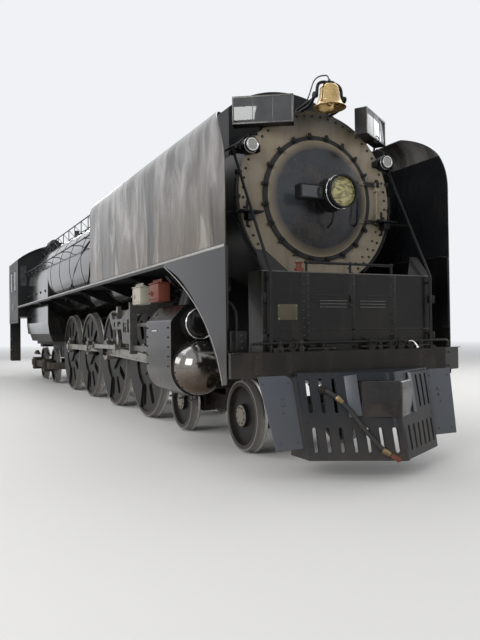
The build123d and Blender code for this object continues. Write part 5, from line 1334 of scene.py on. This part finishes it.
# Top rails: a light lattice on both sides of the boiler top behind the deflectors
latticeSet = {"x": 0.82, "top": 4.5, "low": 4.2, "foot": 4.12, "pitch": 0.78, "start": 2.75, "end": 0.12}
start = deflectorHigh.y + latticeSet["start"]
end = cabLow.y - latticeSet["end"]
bays = int((end - start) / latticeSet["pitch"])
step = (end - start) / bays
low, high = latticeSet["low"], latticeSet["top"]
sketch = Sketch((latticeSet["x"], 0, 0))
for height, radius in ((high, 0.016), (low, 0.014)):
    sketch.pipe([(0, start, height), (0, end, height)], radius)
for i in range(bays + 1):
    y = start + i * step
    sketch.pipe([(0, y, latticeSet["foot"]), (0, y, high)], 0.012)
    if i < bays:
        sketch.pipe([(0, y, low), (0, y + step, high)], 0.008)
sketch.finish("topLattice", "satinBlack", twin=True)

# Sand pipes from the sandbox down the barrel, with unions on the way
sandSet = {"reach": 1.225, "turns": (52, 34, 14, -6, -20), "box": 1.15, "pitch": 0.42, "radius": 0.017}
union = capped((0.03, 0), (0.034, 0.02), (0.03, 0.05))
sandMiddle = span("boiler_domes")[0].y + sandSet["box"]
sketch = Sketch()
for i, wheel in enumerate(driverCentres):
    y = sandMiddle + (i - 1.5) * sandSet["pitch"]
    route = [(0.6, y, 4.24)]
    for turn in sandSet["turns"]:
        along = y + (wheel.y - 0.9 - y) * (52 - turn) / 90
        route.append(polar(sandSet["reach"], math.radians(turn), along) + Vector((0, 0, boilerHeight)))
    sketch.pipe(route + [(1.17, wheel.y - 1.02, boardTop - 0.1)], sandSet["radius"], 0.12)
    sketch.lathe(union, (0.6, y, 4.225), (0.5, 0, 1), 14)
sketch.finish("sandPipes", "satinBlack", twin=True)

# Firebox: washout plugs and jacket seams; rims, a whistle and small valves on top
plugSet = {"count": 5, "start": 0.45, "pitch": 0.84, "heights": (2.85, 3.6), "seams": (1.3, 2.6)}
plug = capped((0.045, 0), (0.045, 0.012), (0.024, 0.014), (0.022, 0.03))
sketch = Sketch((fireboxHigh.x, fireboxLow.y, 0))
for i in range(plugSet["count"]):
    for z in plugSet["heights"]:
        sketch.lathe(plug, (0, plugSet["start"] + i * plugSet["pitch"], z), outward, 18)
for y in plugSet["seams"]:
    sketch.row(rivet, (0, y, 2.6), (0, y, 3.7), 18, outward, 0.006)
sketch.finish("fireboxPlugs", "jacketBlack", twin=True)
fitLow, fitHigh = span("boiler_top_fittings")
whistle = [(0, 0), (0.05, 0), (0.05, 0.02), (0.036, 0.026), (0.036, 0.2), (0.044, 0.21), (0.03, 0.24)]
smallValve = [(0, 0), (0.022, 0), (0.028, 0.03), (0.018, 0.05), (0.018, 0.08), (0, 0.084)]
sketch = Sketch((0, fitLow.y, 0))
for x in (-0.21, 0, 0.21):
    sketch.hoop((x, 0.13, 4.7), upward, 0.05, 0.006, 24)
sketch.lathe(whistle + [(0, 0.25)], (0.33, 1.2, 4.47), upward, 24)
for y in (1.45, 1.2, 0.95):
    sketch.lathe(smallValve, (-0.2, fitHigh.y - fitLow.y - y, 4.5), upward, 16)
sketch.finish("topBrass", "bellBrass")

# Cylinders: jacket bolts, lifting holes, a bright rim round the black valve cover, and drain cocks
cylinderSet = {
    "x": 1.175, "z": 1.098, "valveZ": 1.69, "boltHeights": (1.12, 1.25, 1.38, 1.51, 1.64),
    "headRadius": 0.384, "valveRadius": 0.205, "discRadius": 0.16,
}
holeRim = [(0, 0.002), (0.03, 0.002), (0.034, 0.006), (0.038, 0)]
x, valveZ = cylinderSet["x"], cylinderSet["valveZ"]
long = cylinderHigh.y - cylinderLow.y
cylinderFront = Vector((0, cylinderLow.y, 0))
sketch = Sketch(cylinderFront)
for z in cylinderSet["boltHeights"]:
    for y in (0.17, long - 0.12):
        sketch.press(bolt, aim((cylinderHigh.x, y, z), outward, 0.011))
for y in (0.52, 0.92):
    sketch.lathe(holeRim, (1.463, y, 1.837), (0.7, 0, 0.7), 20)
sketch.finish("jacketBolts", "satinBlack", twin=True)
sketch = Sketch(cylinderFront)
sketch.ring(bolt, (x, -0.001, cylinderSet["z"]), forward, cylinderSet["headRadius"], 20, 0.009)
sketch.finish("headBolts", "satinBlack", twin=True)
sketch = Sketch(cylinderFront)
sketch.hoop((x, -0.03, valveZ), rearward, cylinderSet["valveRadius"], 0.011)
near, far = cylinderHigh.x, cylinderHigh.x + 0.02
sketch.pipe([(near, 0.62, 1.6), (far, 0.65, 1.6), (far, 0.77, 1.6), (near, 0.8, 1.6)], 0.009, 0.015)
sketch.finish("valveRims", "chrome", twin=True)
sketch = Sketch(cylinderFront)
sketch.lathe([(0, 0.04), (0.12, 0.036), (0.17, 0.02), (0.2, 0)], (x, -0.02, valveZ), forward)
sketch.ring(bolt, (x, -0.042, valveZ), forward, cylinderSet["discRadius"], 10, 0.008)
sketch.finish("valveDiscs", "glossBlack", twin=True)
sketch = Sketch((0, cylinderLow.y, cylinderLow.z))
for y in (0.2, long / 2, long - 0.2):
    sketch.pipe([(x, y, 0.02), (x, y, -0.05), (1.26, y, -0.07)], 0.014)
    sketch.lathe(capped((0.024, 0), (0.024, 0.03)), (x, y, -0.03), upward, 14)
sketch.pipe([(1.29, 0.15, 0.02), (1.29, long - 0.15, 0.02)], 0.009)
sketch.finish("drainCocks", "frameSteel", twin=True)
print("boards, boiler and cylinders trimmed")

# Rods: hub caps, nuts and oil cups on every pin, on the body that carries them
rodSet = {"pinRing": 0.12, "mainRing": 0.125, "mainCupX": 1.05, "leadRing": 0.105}
hubCap = [(0, 0.03), (0.07, 0.03), (0.082, 0.018), (0.082, 0)]
oilCup = [(0, 0), (0.028, 0), (0.028, 0.03), (0.016, 0.036), (0.016, 0.05), (0, 0.052)]
mainCup = [(0, 0), (0.03, 0), (0.03, 0.035), (0.017, 0.04), (0.017, 0.055), (0, 0.058)]
spacing = driverCentres[1].y - driverCentres[0].y
for sideName, sign in (("right", -1), ("left", 1)):
    body = "side_rod_" + sideName
    low, high = span(body)
    eye = (high.z - low.z) / 2
    face = sign * max(abs(low.x), abs(high.x))
    sketch = Sketch()
    for i in range(len(driverCentres)):
        sketch.origin = Vector((face, low.y + eye + i * spacing, low.z + eye))
        if i != 1:
            sketch.lathe(hubCap, (-sign * 0.001, 0, 0), (sign, 0, 0), 28)
            sketch.ring(bolt, (sign * 0.003, 0, 0), (sign, 0, 0), rodSet["pinRing"], 6, 0.01)
        sketch.lathe(oilCup, (-sign * 0.05, 0, eye - 0.006), upward, 16)
    sketch.finish("sideRodCaps." + sideName, "rodSteel", body)
    body = "main_rod_" + sideName
    low, high = span(body)
    pin = Vector(joints[body + "_turn"]["pos_m"])
    sketch = Sketch((0, pin.y, 0))
    face = sign * max(abs(low.x), abs(high.x))
    sketch.ring(bolt, (face, 0, pin.z), (sign, 0, 0), rodSet["mainRing"], 8, 0.011)
    sketch.lathe(mainCup, (sign * rodSet["mainCupX"], 0, high.z - 0.004), upward, 16)
    sketch.finish("mainRodNuts." + sideName, "rodSteel", body)
for name in ("lead_1", "lead_2"):
    low, high = span(name + "_wheelset")
    sketch = Sketch((low + high) / 2)
    sketch.ring(bolt, ((high.x - low.x) / 2 - 0.004, 0, 0), outward, rodSet["leadRing"], 8, 0.009)
    sketch.finish(name + "_nuts", "satinBlack", name, twin=True)

# Springs: leaves over the trailing boxes and bolts on the truck frames
springSet = {"leaves": 6, "half": 0.52, "step": 0.07, "low": 0.87, "thick": 0.016, "pitch": 0.018}
sketch = Sketch()
for name in ("trailing_1", "trailing_2"):
    axle = Vector(joints[name + "_spin"]["pos_m"])
    sketch.origin = Vector((0, axle.y, 0))
    for i in range(springSet["leaves"]):
        half = springSet["half"] - i * springSet["step"]
        z = springSet["low"] + i * springSet["pitch"]
        sketch.slab((0.98, -half, z), (1.06, half, z + springSet["thick"]), 0.003)
    sketch.slab((0.97, -0.05, 0.86), (1.07, 0.05, 1), 0.008)
    sketch.ring(bolt, (1.15, 0, axle.z), outward, 0.12, 6, 0.014)
sketch.finish("trailingSprings", "truckBlack", "trailing_truck", twin=True)
print("running gear trimmed")

# Cab: window surrounds, gutter, rivet rows, grab irons and a blank number plate
windowSet = {
    "low": 3.12, "high": 3.82, "spans": ((0.675, 1.435), (1.615, 2.375)), "bar": 0.04, "topBar": 0.03,
    "rows": (2.03, 2.98, 4.04), "columns": (0.05, 2.46), "rivetSize": 0.0075,
}
bar, topBar = windowSet["bar"], windowSet["topBar"]
low, high = windowSet["low"], windowSet["high"]
cabCorner = Vector((cabHigh.x, cabLow.y, 0))
sketch = Sketch(cabCorner)
for start, end in windowSet["spans"]:
    for first, last in borderBars((start - bar, low - bar), (end + bar, high + topBar), bar, topBar):
        sketch.slab((-0.002, *first), (0.006, *last), 0.003)
long = cabHigh.y - cabLow.y
for z in windowSet["rows"]:
    sketch.row(rivet, (0, 0.06, z), (0, long - 0.06, z), 44, outward, windowSet["rivetSize"])
for y in windowSet["columns"]:
    sketch.row(rivet, (0, y, 2.05), (0, y, 4.02), 34, outward, windowSet["rivetSize"])
sketch.slab((-0.002, 0.62, low - 0.06), (0.006, 2.42, low - 0.035))
sketch.finish("cabTrim", "satinBlack", twin=True)
sketch = Sketch(cabCorner)
sketch.slab((0, 0.95, 2.42), (0.006, 1.65, 2.66), 0.003)
sketch.finish("cabPlates", "frameSteel", twin=True)
sketch = Sketch((0, cabHigh.y, 0))
rearGrab = [(1.54, -0.05, 2.2), (1.585, -0.03, 2.22), (1.585, -0.03, 3.7), (1.54, -0.05, 3.72)]
sideGrab = [(1.54, -0.4, 2.2), (1.59, -0.4, 2.24), (1.59, -0.4, 2.95), (1.59, -0.4, 3)]
for route in (rearGrab, sideGrab):
    sketch.pipe(route, 0.014, 0.04)
sketch.finish("cabGrabs", "chrome", twin=True)
treadSet = {"heights": (0.58, 0.98, 1.38), "bars": 6, "pitch": 0.07, "x": (1.29, 1.56)}
sketch = Sketch((0, span("cab_steps")[0].y, 0))
for z in treadSet["heights"]:
    for i in range(treadSet["bars"]):
        y = 0.06 + i * treadSet["pitch"]
        sketch.slab((treadSet["x"][0], y, z), (treadSet["x"][1], y + 0.02, z + 0.012), 0.002)
sketch.finish("stepTreads", "frameSteel", twin=True)

# Cab fittings: backhead with fire door and valves, gauge board with dials, throttle, seat frames
cabSet = {
    "backheadHalf": 0.26, "boardHalf": 0.42, "face": 0.25, "floor": 2.18, "valveZ": 3.02, "doorZ": 2.66,
    "valves": (-0.55, -0.35, -0.18, 0.18, 0.35, 0.55), "seatX": 1.18,
    "dials": ((-0.3, 3.58, 0.085), (-0.08, 3.58, 0.105), (0.15, 3.58, 0.085), (0.33, 3.6, 0.06)),
}
doorZ, valveZ = cabSet["doorZ"], cabSet["valveZ"]
backhead = Vector((0, cabLow.y + cabSet["face"], 0))
sketch = Sketch(backhead)
half = cabSet["backheadHalf"]
sketch.slab((-half, 0, 2.44), (half, 0.04, 2.88), 0.015)
sketch.ring(bolt, (0, 0.04, doorZ), rearward, 0.2, 14, 0.011)
for side in (-1, 1):
    place = Matrix.Translation((0, 0.04, doorZ)) @ Matrix.Scale(side, 4, (1, 0, 0))
    sketch.slab((0, 0, -0.13), (0.17, 0.025, 0.13), 0.012, place)
    sketch.hoop((side * 0.09, 0.07, doorZ), rearward, 0.05, 0.008, 20)
half = cabSet["boardHalf"]
sketch.slab((-half, 0, 3.43), (half, 0.05, 3.73), 0.01)
sketch.pipe([(-half, 0.03, 3.39), (half, 0.03, 3.39)], 0.014)
for x in cabSet["valves"]:
    sketch.pipe([(x, 0, valveZ), (x, 0.09, valveZ), (x, 0.09, 3.3)], 0.013)
    sketch.hoop((x, 0.13, valveZ), rearward, 0.04, 0.007, 20)
    sketch.pipe([(x, 0.08, valveZ), (x, 0.14, valveZ)], 0.008)
sketch.pipe([(-0.7, 0, 3.33), (-0.72, 0.2, 3.28), (-0.76, 0.42, 3.13)], 0.018, 0.08)
for side in (-1, 1):
    sketch.origin = Vector((side * cabSet["seatX"], cabLow.y, 0))
    sketch.slab((-0.17, 1.2, cabSet["floor"]), (0.17, 1.56, 2.59), 0.02)
    sketch.slab((-0.205, 1.155, 2.585), (0.205, 1.6, 2.615), 0.008)
    sketch.slab((-0.2, 1.615, 2.6), (0.2, 1.635, 3.12), 0.008)
    sketch.row(bolt, (-0.13, 1.2, 2.24), (0.13, 1.2, 2.24), 4, forward, 0.01)
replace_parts(sketch.finish("cabFittings", "cabGreen"), "cab_interior")
rims = Sketch(backhead)
dials = Sketch(backhead)
for x, z, radius in cabSet["dials"]:
    rims.hoop((x, 0.055, z), rearward, radius, 0.012, 36)
    dials.lathe([(0, 0.004), (radius, 0.004), (radius, 0)], (x, 0.05, z), rearward, 32)
    rims.slab((x - 0.003, 0.055, z), (x + 0.003, 0.059, z + radius * 0.75), 0.001)
rims.finish("gaugeRims", "bellBrass")
dials.finish("gaugeDials", "creamPaint")

# Seats: each pad is crowned on its face, drawn in at the corners and edged with piping
seatSet = {
    "half": 0.21, "cuts": 7, "draw": 0.05, "waist": 0.03, "piping": 0.0055, "inset": 0.955,
    "pads": (
        ("Seat", (1.15, 2.612), (1.6, 2.69), 0.012, 2), ("Back", (1.56, 2.71), (1.617, 3.14), 0.01, 1),
    ),
}


def padPoint(vert, middle, reach, crown, faceAxis):
    spot = vert.co.copy()
    first, second = [axis for axis in range(3) if axis != faceAxis]
    wide, long, deep = abs(spot[first]), abs(spot[second]), abs(spot[faceAxis])
    swell = (1 - wide**2) * (1 - long**2) if deep > 0.99 else 0
    pull = 1 - seatSet["draw"] * (1 - deep) * (wide * long) ** 2
    spot[first] *= pull - seatSet["waist"] * long**4
    spot[second] *= pull - seatSet["waist"] * abs(spot[first]) ** 4
    place = Vector([middle[axis] + spot[axis] * reach[axis] for axis in range(3)])
    place[faceAxis] += math.copysign(crown, spot[faceAxis]) * swell
    return place


def cushion(name, low, high, crown, faceAxis):
    middle = (low + high) / 2
    reach = (high - low) / 2
    pad = Sketch()
    bmesh.ops.create_cube(pad.shape, size=2.0)
    bmesh.ops.subdivide_edges(pad.shape, edges=pad.shape.edges, cuts=seatSet["cuts"], use_grid_fill=True)
    for vert in pad.shape.verts:
        vert.co = padPoint(vert, middle, reach, crown, faceAxis)
    first, second = [axis for axis in range(3) if axis != faceAxis]
    corners = []
    for a, b in ((-1, -1), (1, -1), (1, 1), (-1, 1)):
        corner = middle.copy()
        corner[first] += a * reach[first] * seatSet["inset"]
        corner[second] += b * reach[second] * seatSet["inset"]
        corner[faceAxis] = high[faceAxis] - 0.012
        corners.append(corner)
    ends = [corners[0].lerp(corners[1], share) for share in (0.5, 0.49)]
    seam = Sketch()
    seam.tube(softPath([ends[0], *corners[1:], corners[0], ends[1]], 0.05), seatSet["piping"], True)
    piece = pad.finish(name, "leathercloth", angle=75)
    smooth = piece.modifiers.new("smooth", "SUBSURF")
    smooth.levels = 1
    smooth.render_levels = 1
    seam.finish(name + "Piping", "leathercloth")


for side, name in ((-1, "right"), (1, "left")):
    for part, low, high, crown, faceAxis in seatSet["pads"]:
        corner = Vector((side * cabSet["seatX"], cabLow.y, 0))
        low = corner + Vector((-seatSet["half"], *low))
        high = corner + Vector((seatSet["half"], *high))
        cushion(name + part, low, high, crown, faceAxis)
print("cab fitted")

# Lights, world and floor
lampTable = [
    ("topLight", (0, -2, 13), (0, 0, 0), (26, 9), 1500),
    ("frontLeftLight", (-15, -17, 8), (0, -6, 2), (9, 7), 1500),
    ("sideLight", (-19, 4, 8), (0, 2, 2), (14, 6), 900),
    ("rightLight", (18, -8, 8), (0, -3, 2), (14, 7), 900),
    ("rearLight", (6, 22, 9), (0, 6, 2), (10, 7), 700),
]
for name, place, target, size, power in lampTable:
    lamp = bpy.data.lights.new(name, "AREA")
    lamp.shape = "RECTANGLE"
    lamp.size, lamp.size_y = size
    lamp.energy = power
    holder = bpy.data.objects.new(name, lamp)
    turn = (Vector(target) - Vector(place)).to_track_quat("-Z", "Y").to_matrix().to_4x4()
    holder.matrix_world = Matrix.Translation(place) @ turn
    collection.objects.link(holder)

stageSet = {
    "backdrop": (0.95, 0.965, 1.0), "fill": 0.5, "seen": 0.92, "floor": (0.72, 0.71, 0.69), "rough": 0.7,
    "half": 140, "fade": (18.0, 70.0),
}
world = bpy.data.worlds.new("studio")
bpy.context.scene.world = world
world.use_nodes = True
wire = Wire(world.node_tree)
wire.tree.nodes.clear()


def seenDirectly(wire):
    names = ("Is Camera Ray", "Is Glossy Ray", "Is Transmission Ray")
    rays = [wire.node("LightPath", output=name) for name in names]
    return (rays[0] + rays[1] + rays[2]).clip()


# The backdrop is brighter to the camera and in reflections than as a light
strength = stageSet["fill"] + seenDirectly(wire) * (stageSet["seen"] - stageSet["fill"])
backdrop = wire.node("Background", inputs={"Color": stageSet["backdrop"], "Strength": strength})
output = wire.tree.nodes.new("ShaderNodeOutputWorld")
wire.tree.links.new(backdrop.socket, output.inputs[0])

# The floor fades to the backdrop far out, where the camera sees it
shape = bmesh.new()
bmesh.ops.create_grid(shape, x_segments=2, y_segments=2, size=stageSet["half"])
mesh = bpy.data.meshes.new("floor")
shape.to_mesh(mesh)
shape.free()
floor = bpy.data.objects.new("floor", mesh)
collection.objects.link(floor)
material, wire, shader, place = startMaterial("floorPaint")
feed(wire, shader, {"Base Color": stageSet["floor"], "Roughness": stageSet["rough"]})
far = reachFrom(wire, place, (0, 0, 0), (1.0, 1.0, 0.0)).ramp(*stageSet["fade"]) * seenDirectly(wire)
glow = wire.node("Emission", inputs={"Color": stageSet["backdrop"], "Strength": stageSet["seen"]})
mixed = wire.tree.nodes.new("ShaderNodeMixShader")
wire.plug(far, mixed.inputs[0])
wire.tree.links.new(shader.outputs[0], mixed.inputs[1])
wire.tree.links.new(glow.socket, mixed.inputs[2])
wire.tree.links.new(mixed.outputs[0], wire.tree.nodes["Material Output"].inputs[0])
mesh.materials.append(material)

bpy.context.scene.view_settings.view_transform = "Standard"
print("stage set")
